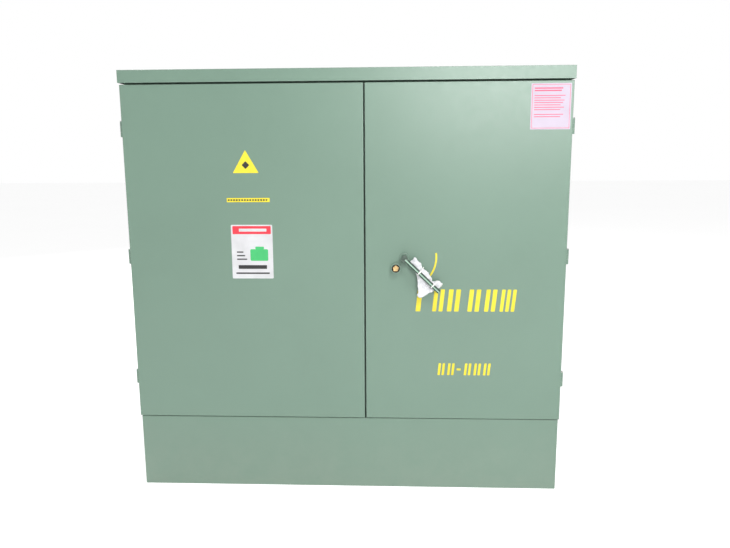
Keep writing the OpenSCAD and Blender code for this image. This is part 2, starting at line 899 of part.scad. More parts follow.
fuse_drop = 230;
fuse_z = tank_top - fuse_drop;
fuse_r = 24;
fuse_slots = 5;
fuse_xs = [for (i = [0:2]) hv_x0 + (hv_x1 - hv_x0) * (i + 0.5) / fuse_slots];
switch_x = hv_x0 + (hv_x1 - hv_x0) * 3.5 / fuse_slots;
tap_x = hv_x0 + (hv_x1 - hv_x0) * 4.5 / fuse_slots;
fuse_bore = 13;
fuse_out = 50;
fuse_flange = [14, 8];
fuse_floor = 10;
module fuse_housings() {
    color("#8c8f92")
        for (x = fuse_xs)
            difference() {
                union() {
                    bar_y(fuse_r, x, [tank_y - fuse_out, oil_y + fuse_travel], fuse_z);
                    bar_y(fuse_r + fuse_flange[0], x, [tank_y - fuse_flange[1], tank_y], fuse_z);
                }
                bar_y(fuse_bore, x, [tank_y - fuse_out - over, oil_y + fuse_travel - fuse_floor], fuse_z);
            }
}

fuse_gap = 0.4;
fuse_seat_gap = 0.3;
fuse_cap_t = 12;
hook_r = [9, 16];
hook_t = 8;
hook_y = tank_y - 76;

// A bayonet fuse holder: a rod in the housing, a cap and a ring to hook it out by
module fuse_holder(x) {
    color("#d8d3c4") {
        bar_y(fuse_bore - fuse_gap, x, [tank_y - fuse_out, oil_y + fuse_travel - fuse_floor - 4], fuse_z);
        bar_y(fuse_r, x, [tank_y - fuse_out - fuse_cap_t, tank_y - fuse_out - fuse_seat_gap], fuse_z);
        difference() {
            bar_x(hook_r[1], [x - hook_t / 2, x + hook_t / 2], hook_y, fuse_z);
            bar_x(hook_r[0], [x - hook_t / 2 - over, x + hook_t / 2 + over], hook_y, fuse_z);
        }
    }
}
module fuse_holder_1() {
    fuse_holder(fuse_xs[0]);
}
module fuse_holder_2() {
    fuse_holder(fuse_xs[1]);
}
module fuse_holder_3() {
    fuse_holder(fuse_xs[2]);
}

operator_r = 20;
operator_shaft_r = 7;
operator_out = 30;
operator_in = [20, 40];
operator_flange = [25, 6];
operator_gap = 0.5;
module operator_bosses() {
    color(steel)
        for (x = [switch_x, tap_x])
            difference() {
                union() {
                    bar_y(operator_r, x, [tank_y - operator_out, oil_y + operator_in[0]], fuse_z);
                    bar_y(operator_r + operator_flange[0], x, [tank_y - operator_flange[1], tank_y], fuse_z);
                }
                bar_y(operator_shaft_r + running, x,
                      [tank_y - operator_out - over, oil_y + operator_in[0] + over], fuse_z);
            }
}
switch_arm = 62;
switch_bar = [18, 12];
switch_hub = [18, 20];
module switch_handle() {
    color("#c7372f") {
        bar_y(operator_shaft_r, switch_x, [tank_y - operator_out - over, oil_y + operator_in[1]], fuse_z);
        bar_y(switch_hub[0], switch_x,
              [tank_y - operator_out - switch_hub[1], tank_y - operator_out - operator_gap], fuse_z);
        block([switch_x - switch_arm, switch_x + switch_arm],
              [tank_y - operator_out - switch_hub[1], tank_y - operator_out - switch_hub[1] + switch_bar[1]],
              [fuse_z - switch_bar[0] / 2, fuse_z + switch_bar[0] / 2]);
    }
}
knob_r = 26;
knob_t = 16;
pointer_w = 12;
pointer_t = 14;
module tap_changer_knob() {
    color(rubber) {
        bar_y(operator_shaft_r, tap_x, [tank_y - operator_out - over, oil_y + operator_in[1]], fuse_z);
        bar_y(knob_r, tap_x, [tank_y - operator_out - knob_t, tank_y - operator_out - operator_gap], fuse_z);
        block([tap_x - pointer_w / 2, tap_x + pointer_w / 2],
              [tank_y - operator_out - knob_t - pointer_t, tank_y - operator_out - knob_t],
              [fuse_z - knob_r + 2, fuse_z + knob_r + pointer_t]);
    }
}

// ---- Low-voltage compartment ----

lv_ins = [50, 40];
lv_x0 = seam_x + lv_ins[0];
lv_x1 = front_half - lv_ins[1];
lv_xs = [for (i = [0:3]) lv_x0 + (lv_x1 - lv_x0) * (i + 0.5) / 4];
lv_z = tank_top - hv_drops[1];
lv_neck_r = 26;
lv_out = 70;
lv_fin = 12;
lv_fin_lip = 14;
lv_fin_pitch = 20;
module lv_bushings() {
    color(porcelain)
        for (x = lv_xs) {
            bar_y(lv_neck_r, x, [tank_y - lv_out, oil_y + stud_in], lv_z);
            for (y = [for (i = [0:2]) tank_y - 4 - i * lv_fin_pitch])
                bar_y(lv_neck_r + lv_fin_lip, x, [y - lv_fin, y], lv_z);
        }
}
spade_t = 12;
spade_w = 2 * spade_pitch - 4;
spade_l = 2 * spade_pitch + 6;
stud_r = 16;
stud_l = 14;
spade_y = tank_y - lv_out - stud_l - spade_l;
spade_hole_y = [spade_y + (spade_l - spade_pitch) / 2, spade_y + (spade_l + spade_pitch) / 2];

// Flat four-hole spades, one on each low-voltage stud
module spade_terminals() {
    color("#c9c6bd")
        for (x = lv_xs)
            difference() {
                union() {
                    bar_y(stud_r, x, [tank_y - lv_out - stud_l, tank_y - lv_out], lv_z);
                    block([x - spade_t / 2, x + spade_t / 2], [spade_y, tank_y - lv_out - stud_l + over],
                          [lv_z - spade_w / 2, lv_z + spade_w / 2]);
                }
                for (y = spade_hole_y, z = [lv_z - spade_pitch / 2, lv_z + spade_pitch / 2])
                    bar_x(spade_hole / 2, [x - spade_t, x + spade_t], y, z);
            }
}

pad_w = 50;
pad_t = 14;
ground_r = 6.35;
ground_x = 110;
ground_xs = [seam_x - ground_x, seam_x + ground_x];
ground_lift = 150;
ground_z = rail_h + ground_lift;
ground_depth = 12;
module ground_pads() {
    color(steel)
        for (x = ground_xs)
            difference() {
                block([x - pad_w / 2, x + pad_w / 2], [tank_y - pad_t, tank_y],
                      [ground_z - pad_w / 2, ground_z + pad_w / 2]);
                bar_y(ground_r, x, [tank_y - pad_t - over, tank_y - pad_t + ground_depth], ground_z);
            }
}

gauge_drop = 170;
gauge_z = tank_top - gauge_drop;
gauge_xs = [lv_xs[0], lv_xs[1]];
relief_x = lv_xs[2];
gauge_r = 46;
gauge_neck_r = 14;
gauge_d = 34;
gauge_wall = 4;
gauge_rim = 10;
gauge_in = 20;
needle_y = tank_y - gauge_d;
needle_r = 2.5;
module gauge_cases() {
    color("#d9dcd8")
        for (x = gauge_xs)
            difference() {
                union() {
                    bar_y(gauge_r, x, [needle_y - gauge_rim, tank_y], gauge_z);
                    bar_y(gauge_neck_r, x, [tank_y - over, oil_y + gauge_in], gauge_z);
                }
                bar_y(gauge_r - gauge_wall, x, [needle_y - gauge_rim - over, needle_y], gauge_z);
                bar_y(needle_r + running, x, [needle_y - over, needle_y + 10], gauge_z);
            }
}
module needle(x) {
    color("#b5251c") {
        bar_y(needle_r, x, [needle_y - 3, needle_y + 8], gauge_z);
        bar_y(6, x, [needle_y - 4, needle_y - over], gauge_z);
        block([x - 1.2, x + 1.2], [needle_y - 3, needle_y - 2], [gauge_z - 10, gauge_z + gauge_r - 14]);
    }
}
module thermometer_needle() {
    needle(gauge_xs[0]);
}
module level_needle() {
    needle(gauge_xs[1]);
}

relief_neck_r = 12;
relief_r = 20;
relief_out = 40;
relief_stem_r = 4;
module relief_valve() {
    color(brass)
        difference() {
            union() {
                bar_y(relief_neck_r, relief_x, [tank_y - over, oil_y + stud_in], gauge_z);
                bar_y(relief_r, relief_x, [tank_y - relief_out, tank_y], gauge_z);
            }
            bar_y(relief_stem_r + running, relief_x, [tank_y - relief_out - over, tank_y - 8], gauge_z);
        }
}
ring_r = 15;
ring_wire_r = 2;
module relief_ring() {
    color(steel) {
        bar_y(relief_stem_r, relief_x, [tank_y - relief_out - 8, tank_y - 20], gauge_z);
        translate([relief_x, tank_y - relief_out - 3 * ring_wire_r - ring_r, gauge_z])
            rotate([0, 90, 0])
                rotate_extrude()
                    translate([ring_r, 0])
                        circle(r = ring_wire_r);
    }
}

drain_x = lv_xs[2];
drain_lift = 130;
drain_z = rail_h + drain_lift;
drain_r = 17;
stem_r = 5;
stem_foot = 20;
drain_out = 90;
drain_flange = [12, 10];
bonnet_r = 14;
bonnet_h = 50;
module drain_valve() {
    color(brass)
        difference() {
            union() {
                bar_y(drain_r, drain_x, [tank_y - drain_out, oil_y + stud_in], drain_z);
                bar_y(drain_r + drain_flange[0], drain_x, [tank_y - drain_flange[1], tank_y], drain_z);
                bar_z(bonnet_r, drain_x, tank_y - drain_out / 2, [drain_z, drain_z + bonnet_h]);
            }
            bar_y(drain_r - 5, drain_x, [tank_y - drain_out - over, tank_y - drain_out + 20], drain_z);
            bar_z(stem_r + running, drain_x, tank_y - drain_out / 2,
                  [drain_z + stem_foot, drain_z + bonnet_h + over]);
        }
}
wheel_r = 34;
wheel_rim_r = 4;
wheel_hub_r = 9;
spoke_w = 6;
module drain_handwheel() {
    wheel_z = drain_z + bonnet_h + 12;
    color("#c7372f")
        translate([drain_x, tank_y - drain_out / 2, 0]) {
            translate([0, 0, wheel_z])
                rotate_extrude()
                    translate([wheel_r, 0])
                        circle(r = wheel_rim_r);
            bar_z(stem_r, 0, 0, [drain_z + stem_foot + 2, wheel_z + spoke_w]);
            bar_z(wheel_hub_r, 0, 0, [wheel_z - wheel_rim_r, wheel_z + wheel_rim_r]);
            for (a = [0:90:270])
                rotate([0, 0, a])
                    block([0, wheel_r], [-spoke_w / 2, spoke_w / 2],
                          [wheel_z - spoke_w / 2, wheel_z + spoke_w / 2]);
        }
}
name_w = 180;
name_t = 1.5;
name_drops = [330, 200];
module nameplate() {
    color(steel)
        block([lv_xs[1] - name_w / 2, lv_xs[1] + name_w / 2], [tank_y - name_t, tank_y],
              [lv_z - name_drops[0], lv_z - name_drops[1]]);
}

// ---- Labels and marks: plain shapes with no lettering ----

label_t = 0.4;
label_y = [face_y - label_t, face_y];
left_middle = (left_edge - half_w) / 2;
triangle_x = left_middle + 9.75;
triangle_z = door_top - 332;
triangle_w = 100;
strip_x = [left_middle - 67.75, left_middle + 98.75];
strip_z = [door_top - 443, door_top - 427];
placard_x = [left_middle - 56.25, left_middle + 105.75];
placard_z = [door_top - 742, door_top - 530.5];
module left_labels() {
    color(yellow) {
        translate([triangle_x, face_y, triangle_z])
            rotate([90, 0, 0])
                linear_extrude(height = label_t)
                    polygon([[-triangle_w / 2, 0], [triangle_w / 2, 0], [0, triangle_w * sin(60)]]);
        block(strip_x, label_y, strip_z);
    }
    color(white)
        block(placard_x, label_y, placard_z);
}
paper_x = [half_w - 157, half_w - 9.5];
paper_z = [door_top - 176.5, door_top - 10];
module paper_label() {
    color(white)
        block(paper_x, label_y, paper_z);
}

rating_xs = [44.5, 109.5, 171.5, 246.5, 311.5, 371.5];
rating_ws = [30, 50, 57, 55, 52, 65];
rating_z = [handle_z - 214, handle_z - 126];
small_xs = [133.5, 171.5, 209.5, 237.5, 275.5, 313.5];
small_w = 32;
small_z = [door_z + 182.5, door_z + 231.5];
dash_z = [small_z[0] + 20, small_z[0] + 28];
arc_r = 120;
arc_w = 7;
arc_from = -38;
arc_to = 8;
module yellow_marks() {
    color(yellow) {
        for (i = [0:len(rating_xs) - 1])
            block([handle_x + rating_xs[i], handle_x + rating_xs[i] + rating_ws[i]], label_y, rating_z);
        for (i = [0:len(small_xs) - 1])
            block([handle_x + small_xs[i], handle_x + small_xs[i] + (i == 2 ? small_w / 2 : small_w)],
                  label_y, i == 2 ? dash_z : small_z);
        translate([handle_x, face_y, handle_z])
            rotate([90, 0, 0])
                rotate([0, 0, arc_from])
                    rotate_extrude(angle = arc_to - arc_from)
                        translate([arc_r, 0])
                            square([arc_w, label_t]);
    }
}

// ---- Accessory bag and its ties ----

bag_gaps = [28, 3];
bag_y = [face_y - bag_gaps[0], face_y - bag_gaps[1]];
module accessory_bag() {
    color("#eef0ef")
        on_lever()
            translate([0, 0, -bag_y[1]])
                linear_extrude(height = bag_y[1] - bag_y[0])
                    polygon([[27, 4], [31, 30], [60, 29], [78, 20], [107, 21], [128, 16], [139, 9],
                             [158, 28], [176, 29], [176, 10], [170, -8], [158, -50], [150, -68],
                             [136, -70], [124, -50], [102, -30], [78, -16], [34, -3]]);
}
tie_w = 4;
tie_us = [78, 150];
module cable_ties() {
    color(white)
        on_lever()
            for (u = tie_us)
                difference() {
                    translate([u - tie_w / 2, -lever_w / 2 - tie_t, -lever_y[1] - tie_t])
                        cube([tie_w, lever_w + 2 * tie_t, lever_t + 2 * tie_t]);
                    translate([u - tie_w, -lever_w / 2, -lever_y[1]])
                        cube([2 * tie_w, lever_w, lever_t]);
                }
}

base_rails();
tank_shell();
tank_front_plate();
cover_gasket();
tank_cover();
handhole_cover();
bolts();
lifting_lugs();
cooling_fins();
core();
core_clamps();
lv_coils();
hv_coils();
leads();
left_cabinet_side();
right_cabinet_side();
header();
front_sill();
barrier();
roof();
frame_hinge_leaves();
hinge_pins();
hv_bushings();
parking_stands();
fuse_housings();
fuse_holder_1();
fuse_holder_2();
fuse_holder_3();
operator_bosses();
switch_handle();
tap_changer_knob();
lv_bushings();
spade_terminals();
ground_pads();
gauge_cases();
thermometer_needle();
level_needle();
relief_valve();
relief_ring();
drain_valve();
drain_handwheel();
nameplate();
left_door();
left_door_leaves();
left_stiffeners();
left_labels();
right_door();
right_door_leaves();
right_stiffeners();
lock_collar();
paper_label();
yellow_marks();
lever();
latch_cam();
accessory_bag();
cable_ties();
upper_rod();
lower_rod();
lock_bolt();
lock_washer();
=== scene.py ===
"""Pad-mounted transformer: finishes, soft parts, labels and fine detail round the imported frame."""

import json
import math
import random
from contextlib import contextmanager

import bmesh
import bpy
from bpy.props import FloatProperty, FloatVectorProperty, PointerProperty
from bpy.types import Operator, Panel, PropertyGroup
from mathutils import Euler, Matrix, Vector


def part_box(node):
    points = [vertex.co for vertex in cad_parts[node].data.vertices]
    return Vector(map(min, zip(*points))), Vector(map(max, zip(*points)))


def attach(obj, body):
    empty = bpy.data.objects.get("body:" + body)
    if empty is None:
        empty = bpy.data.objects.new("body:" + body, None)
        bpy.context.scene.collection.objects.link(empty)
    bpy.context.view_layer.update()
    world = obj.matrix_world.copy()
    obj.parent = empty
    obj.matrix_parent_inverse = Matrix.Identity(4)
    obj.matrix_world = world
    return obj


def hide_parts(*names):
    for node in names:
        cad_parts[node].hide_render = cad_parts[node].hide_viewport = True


bl_info = {
    "name": "Pad-Mounted Transformer",
    "version": (1, 0, 0),
    "blender": (4, 5, 0),
    "location": "View3D > Sidebar > Transformer",
    "description": "Builds the visible surfaces of a pad-mounted transformer",
    "category": "Object",
}

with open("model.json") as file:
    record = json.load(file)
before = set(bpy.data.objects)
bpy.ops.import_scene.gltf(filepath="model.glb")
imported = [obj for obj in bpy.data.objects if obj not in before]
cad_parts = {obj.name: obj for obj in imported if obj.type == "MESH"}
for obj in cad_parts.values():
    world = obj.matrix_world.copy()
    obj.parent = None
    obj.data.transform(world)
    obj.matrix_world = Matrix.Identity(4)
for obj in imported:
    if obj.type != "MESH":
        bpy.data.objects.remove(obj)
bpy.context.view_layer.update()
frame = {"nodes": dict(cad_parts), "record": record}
MM = 0.001

# The doors' front face, the latch handle's axis and how far the lever is turned from level at rest.
FACE_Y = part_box("right_door")[0].y
CAM_REACH = 39 * MM
CAM_HALF = 9 * MM
HUB = (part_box("latch_cam")[1].x - CAM_REACH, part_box("latch_cam")[0].z + CAM_HALF)
LEVER_TILT = math.radians(44)
# Thickness of a printed mark, and how far merged points may stand apart.
PRINT = 0.08 * MM
MERGE = 0.02 * MM


# ---- Settings ----


class PaintSettings(PropertyGroup):
    """Colour and edges of the painted sheet steel"""
    colour: FloatVectorProperty(
        name="Paint", description="Colour of the enamel", subtype="COLOR", size=3,
        min=0.0, max=1.0, default=(0.166, 0.262, 0.202))
    worn: FloatVectorProperty(
        name="Worn paint", description="Colour where the enamel is rubbed", subtype="COLOR",
        size=3, min=0.0, max=1.0, default=(0.44, 0.56, 0.48))
    roughness: FloatProperty(
        name="Roughness", description="Roughness of the enamel", default=0.38, min=0.0, max=1.0)
    edge_radius: FloatProperty(
        name="Bend radius", description="Radius of the folded sheet edges", default=0.0028,
        min=0.0005, max=0.006, unit="LENGTH")
    arris: FloatProperty(
        name="Arris", description="Rounding of cut sheet edges", default=0.0007,
        min=0.0002, max=0.002, unit="LENGTH")


class LeverSettings(PropertyGroup):
    """Sizes of the latch handle"""
    length: FloatProperty(
        name="Length", description="From the hub's axis to the lever's tip", default=0.185,
        min=0.05, max=0.3, unit="LENGTH")
    half_width: FloatProperty(
        name="Half width", description="Half the height of the lever's bar", default=0.008,
        min=0.006, max=0.02, unit="LENGTH")
    chamfer: FloatProperty(
        name="Chamfer", description="Slope along the bar's front edges", default=0.0053,
        min=0.001, max=0.007, unit="LENGTH")
    hub_radius: FloatProperty(
        name="Hub radius", description="Radius of the round hub", default=0.012,
        min=0.01, max=0.03, unit="LENGTH")
    shaft_radius: FloatProperty(
        name="Shaft radius", description="Radius of the shaft behind the door", default=0.009,
        min=0.004, max=0.009, unit="LENGTH")


class LabelSettings(PropertyGroup):
    """Colours of the labels and marks"""
    yellow: FloatVectorProperty(
        name="Yellow", description="Colour of the yellow film", subtype="COLOR", size=3,
        min=0.0, max=1.0, default=(0.83, 0.70, 0.04))
    red: FloatVectorProperty(
        name="Red", description="Colour of the red print", subtype="COLOR", size=3,
        min=0.0, max=1.0, default=(0.78, 0.045, 0.07))
    green: FloatVectorProperty(
        name="Green", description="Colour of the green print", subtype="COLOR", size=3,
        min=0.0, max=1.0, default=(0.06, 0.50, 0.16))
    ink: FloatVectorProperty(
        name="Ink", description="Colour of the dark print", subtype="COLOR", size=3,
        min=0.0, max=1.0, default=(0.025, 0.025, 0.025))


class BagSettings(PropertyGroup):
    """Shape of the film bag"""
    pressure: FloatProperty(
        name="Pressure", description="How far the film puffs out", default=3.0, min=0.0, max=10.0)
    crumple: FloatProperty(
        name="Crumple", description="Depth of the creases in the film", default=0.0045,
        min=0.0, max=0.02, unit="LENGTH")


class StudioSettings(PropertyGroup):
    """Lights, surround and camera"""
    key: FloatProperty(
        name="Key light", description="Power of the main soft light in watts", default=80.0, min=0.0)
    top: FloatProperty(
        name="Top light", description="Power of the soft light overhead in watts", default=95.0,
        min=0.0)
    fill: FloatProperty(
        name="Fill light", description="Power of the second soft light in watts", default=16.0,
        min=0.0)
    rear: FloatProperty(
        name="Rear light", description="Power of the soft light behind the object in watts",
        default=150.0, min=0.0)
    sky: FloatProperty(
        name="Surround", description="Light that the white surround gives", default=0.40, min=0.0)
    focal: FloatProperty(
        name="Focal length", description="Camera focal length in millimetres", default=33.53,
        min=10.0)
    camera_place: FloatVectorProperty(
        name="Camera place", description="Where the camera stands", subtype="TRANSLATION", size=3,
        unit="LENGTH", default=(0.190, -3.234, 1.356))
    camera_turn: FloatVectorProperty(
        name="Camera turn", description="How the camera is tilted and turned", subtype="EULER",
        size=3, default=(math.radians(90 - 10.07), math.radians(0.33), math.radians(2.45)))


def settings():
    """The scene's settings for this object."""
    return bpy.context.scene.transformer


class TransformerSettings(PropertyGroup):
    """All that can be set on the object"""
    paint: PointerProperty(type=PaintSettings)
    lever: PointerProperty(type=LeverSettings)
    labels: PointerProperty(type=LabelSettings)
    bag: PointerProperty(type=BagSettings)
    studio: PointerProperty(type=StudioSettings)


# ---- Modelling helpers ----


def deselect():
    """Nothing is selected and nothing is in edit mode."""
    if bpy.context.object and bpy.context.object.mode != "OBJECT":
        bpy.ops.object.mode_set(mode="OBJECT")
    bpy.ops.object.select_all(action="DESELECT")


def make_active(piece):
    """Makes one piece the only one selected."""
    deselect()
    piece.select_set(True)
    bpy.context.view_layer.objects.active = piece


@contextmanager
def editing(piece, kind="FACE"):
    """Edit mode on one piece, with nothing in it selected."""
    make_active(piece)
    bpy.ops.object.mode_set(mode="EDIT")
    bpy.ops.mesh.select_mode(type=kind)
    bpy.ops.mesh.select_all(action="DESELECT")
    yield bmesh.from_edit_mesh(piece.data)
    bpy.ops.object.mode_set(mode="OBJECT")


def choose_faces(piece, shape, test):
    """Selects the faces whose centre and normal pass a test."""
    for face in shape.faces:
        face.select_set(bool(test(face.calc_center_median(), face.normal)))
    bmesh.update_edit_mesh(piece.data)


def choose_edges(piece, shape, test):
    """Selects the edges whose middle and direction pass a test."""
    for edge in shape.edges:
        first, second = (corner.co for corner in edge.verts)
        edge.select_set(bool(test((first + second) / 2, (second - first).normalized())))
    bmesh.update_edit_mesh(piece.data)


def settle(piece):
    """Puts a piece's place into its mesh."""
    make_active(piece)
    bpy.ops.object.transform_apply(location=True, rotation=True, scale=True)
    return piece


def apply_modifier(piece, kind, **values):
    """Adds a modifier, sets it up and applies it."""
    make_active(piece)
    modifier = piece.modifiers.new(kind.title(), kind)
    for key, value in values.items():
        setattr(modifier, key, value)
    bpy.ops.object.modifier_apply(modifier=modifier.name)


def soften(piece, radius, segments=2, angle=40, clamp=False):
    """Rounds every sharp edge of a piece."""
    apply_modifier(piece, "BEVEL", width=radius, segments=segments, limit_method="ANGLE",
                   angle_limit=math.radians(angle), use_clamp_overlap=clamp, miter_outer="MITER_ARC")


def add_block(name, low, high):
    """A block between two corners, placed and ready to shape."""
    deselect()
    low, high = Vector(low), Vector(high)
    bpy.ops.mesh.primitive_cube_add(size=1, location=(low + high) / 2)
    piece = bpy.context.object
    piece.name = name
    piece.scale = high - low
    return settle(piece)


def add_round(name, radius, start, end, sides=48):
    """A round bar from one point to another."""
    deselect()
    start, end = Vector(start), Vector(end)
    bpy.ops.mesh.primitive_cylinder_add(
        vertices=sides, radius=radius, depth=(end - start).length, location=(start + end) / 2,
        rotation=(end - start).to_track_quat("Z", "Y").to_euler())
    piece = bpy.context.object
    piece.name = name
    return settle(piece)


def join(pieces, name):
    """Joins several meshes into the first one."""
    deselect()
    for piece in pieces:
        piece.select_set(True)
    bpy.context.view_layer.objects.active = pieces[0]
    if len(pieces) > 1:
        bpy.ops.object.join()
    pieces[0].name = name
    return pieces[0]


def arrange(piece, places):
    """A piece and its copies, one at each place, every copy with its own mesh."""
    twins = []
    for place in places[1:]:
        twin = piece.copy()
        twin.data = piece.data.copy()
        twin.data.transform(place)
        bpy.context.scene.collection.objects.link(twin)
        twins.append(twin)
    piece.data.transform(places[0])
    return [piece, *twins]


def turned_at(x, z, angle):
    """The matrix that turns a piece drawn round the origin about Y and moves it to x and z."""
    return Matrix.Translation((x, 0, z)) @ Euler((0, angle, 0)).to_matrix().to_4x4()


def place_on_lever(piece):
    """Turns a piece drawn with X along the lever and Z up into the lever's own direction."""
    piece.data.transform(turned_at(*HUB, LEVER_TILT))


def dish(piece, rim, depth):
    """Sinks a piece's front face inside a rim."""
    with editing(piece) as shape:
        choose_faces(piece, shape, lambda middle, normal: normal.y < -0.9)
        bpy.ops.mesh.inset(thickness=rim)
        bpy.ops.transform.translate(value=(0, depth, 0))


def add_finish(piece, material, test):
    """Gives the faces that pass a test a second material."""
    piece.data.materials.append(material)
    with editing(piece) as shape:
        choose_faces(piece, shape, test)
        piece.active_material_index = 1
        bpy.ops.object.material_slot_assign()


def dress(piece, body, material, nodes=()):
    """Gives a finished piece its body and its material, and hides the CAD nodes it stands for."""
    make_active(piece)
    bpy.ops.object.shade_smooth_by_angle(angle=math.radians(32))
    piece.data.materials.clear()
    piece.data.materials.append(material)
    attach(piece, body)
    if nodes:
        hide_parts(*nodes)
    return piece


def body_of_node(node):
    """The body that a CAD node belongs to."""
    bodies = frame["record"]["behaviour"]["bodies"]
    return next(name for name, nodes in bodies.items() if node in nodes)


def slot_of_node(node):
    """The material slot that a CAD node has in the record."""
    return next(row["material_slot"] for row in frame["record"]["subparts"] if row["node"] == node)


def welded_copy(node, name):
    """A CAD node's shape as a new piece, its points merged and its flat faces made whole."""
    piece = bpy.data.objects.new(name, frame["nodes"][node].data.copy())
    bpy.context.scene.collection.objects.link(piece)
    with editing(piece, "EDGE"):
        bpy.ops.mesh.select_all(action="SELECT")
        bpy.ops.mesh.remove_doubles(threshold=MERGE)
        bpy.ops.mesh.dissolve_limited(angle_limit=math.radians(0.5))
    return piece


def softened_copy(node, material, arris, fold=None, radius=0.0, clamp=False):
    """A CAD node's shape with its folds bent and its cut edges rounded."""
    piece = welded_copy(node, node + "_finish")
    if fold:
        with editing(piece, "EDGE") as shape:
            choose_edges(piece, shape, fold)
            bpy.ops.mesh.bevel(offset=radius, segments=4, affect="EDGES", clamp_overlap=True)
    soften(piece, arris, clamp=clamp)
    dress(piece, body_of_node(node), material, [node])
    apply_modifier(piece, "WEIGHTED_NORMAL", weight=100, keep_sharp=True)
    return piece


# ---- Shader groups ----


def new_group(name, inputs, outputs):
    """A shader node group with named float inputs and named outputs."""
    group = bpy.data.node_groups.new(name, "ShaderNodeTree")
    for label, default in inputs.items():
        socket = group.interface.new_socket(label, in_out="INPUT", socket_type="NodeSocketFloat")
        socket.default_value = default
    for label in outputs:
        group.interface.new_socket(label, in_out="OUTPUT", socket_type="NodeSocketFloat")
    enter = group.nodes.new("NodeGroupInput")
    leave = group.nodes.new("NodeGroupOutput")
    return group, enter, leave


def node(tree, kind, links=None, **values):
    """A node with its values set and its inputs linked or filled by socket name."""
    made = tree.nodes.new(kind)
    for key, value in values.items():
        setattr(made, key, value)
    for socket, source in (links or {}).items():
        if isinstance(source, bpy.types.NodeSocket):
            tree.links.new(source, made.inputs[socket])
        else:
            made.inputs[socket].default_value = source
    return made


def maths(tree, operation, first, second=0.0, clamp=False):
    """The result of a maths node."""
    return node(tree, "ShaderNodeMath", {0: first, 1: second}, operation=operation,
                use_clamp=clamp).outputs[0]


def scaled(tree, value, factor, offset, clamp=False):
    """A value multiplied by a factor and then shifted."""
    return node(tree, "ShaderNodeMath", {0: value, 1: factor, 2: offset}, operation="MULTIPLY_ADD",
                use_clamp=clamp).outputs[0]


def object_place(tree):
    """The Object coordinates."""
    return node(tree, "ShaderNodeTexCoord").outputs["Object"]


def group_edge_wear():
    """Mask of rubbed edges: where a rounded normal leaves the true one, broken up by noise."""
    group, enter, leave = new_group(
        "Edge wear", {"Radius": 0.002, "Amount": 1.0, "Grain": 90.0}, ["Mask"])
    rounded = node(group, "ShaderNodeBevel", {"Radius": enter.outputs["Radius"]}, samples=4)
    true = node(group, "ShaderNodeNewGeometry")
    facing = node(group, "ShaderNodeVectorMath", {0: rounded.outputs[0], 1: true.outputs["Normal"]},
                  operation="DOT_PRODUCT")
    bend = maths(group, "SUBTRACT", 1.0, facing.outputs["Value"], clamp=True)
    noise = node(group, "ShaderNodeTexNoise",
                 {"Vector": object_place(group), "Scale": enter.outputs["Grain"], "Detail": 5.0})
    grain = maths(group, "SUBTRACT", noise.outputs["Fac"], 0.38)
    broken = maths(group, "MULTIPLY", grain, 4.0, clamp=True)
    mask = maths(group, "MULTIPLY", maths(group, "MULTIPLY", bend, 9.0, clamp=True), broken)
    amount = maths(group, "MULTIPLY", mask, enter.outputs["Amount"], clamp=True)
    group.links.new(amount, leave.inputs["Mask"])
    return group


def group_mottle():
    """Slow and fine unevenness, both from 0 to 1."""
    group, enter, leave = new_group("Mottle", {"Broad": 2.0, "Fine": 60.0}, ["Broad", "Fine"])
    coords = object_place(group)
    for label, detail in (("Broad", 3.0), ("Fine", 6.0)):
        noise = node(group, "ShaderNodeTexNoise", {
            "Vector": coords, "Scale": enter.outputs[label], "Detail": detail, "Roughness": 0.55})
        spread = scaled(group, noise.outputs["Fac"], 2.2, -0.6, clamp=True)
        group.links.new(spread, leave.inputs[label])
    return group


def group_orange_peel():
    """Height of sprayed enamel: soft cells with a little grit."""
    group, enter, leave = new_group("Orange peel", {"Scale": 260.0, "Grit": 0.25}, ["Height"])
    coords = object_place(group)
    cells = node(group, "ShaderNodeTexVoronoi",
                 {"Vector": coords, "Scale": enter.outputs["Scale"], "Smoothness": 1.0},
                 feature="SMOOTH_F1")
    grit = node(group, "ShaderNodeTexNoise", {"Vector": coords, "Scale": 900.0, "Detail": 2.0})
    grains = maths(group, "MULTIPLY", grit.outputs["Fac"], enter.outputs["Grit"])
    height = maths(group, "ADD", cells.outputs["Distance"], grains)
    group.links.new(height, leave.inputs["Height"])
    return group


def group_dust():
    """Dust mask: thick on upward faces, thin and streaky near the ground."""
    group, enter, leave = new_group("Dust", {"Amount": 0.5, "Ground": 0.35}, ["Mask"])
    coords = object_place(group)
    place = node(group, "ShaderNodeSeparateXYZ", {0: coords})
    facing = node(group, "ShaderNodeNewGeometry").outputs["Normal"]
    up = node(group, "ShaderNodeSeparateXYZ", {0: facing})
    noise = node(group, "ShaderNodeTexNoise",
                 {"Vector": coords, "Scale": 14.0, "Detail": 8.0, "Roughness": 0.65})
    height = maths(group, "DIVIDE", place.outputs["Z"], enter.outputs["Ground"])
    low = maths(group, "SUBTRACT", 1.0, height, clamp=True)
    flat = maths(group, "MULTIPLY", maths(group, "SUBTRACT", up.outputs["Z"], 0.6), 1.6, clamp=True)
    where = maths(group, "MAXIMUM", maths(group, "MULTIPLY", low, 0.55), flat)
    patchy = maths(group, "MULTIPLY", where, noise.outputs["Fac"])
    mask = maths(group, "MULTIPLY", patchy, enter.outputs["Amount"], clamp=True)
    group.links.new(mask, leave.inputs["Mask"])
    return group


# ---- Materials ----

# Colour of settled dust.
DUST = (0.47, 0.44, 0.38)
GROUPS = {}
MATERIALS = {}


def build_groups():
    """Builds the shader groups that the finishes share."""
    GROUPS.update(wear=group_edge_wear(), mottle=group_mottle(), peel=group_orange_peel(),
                  dust=group_dust())


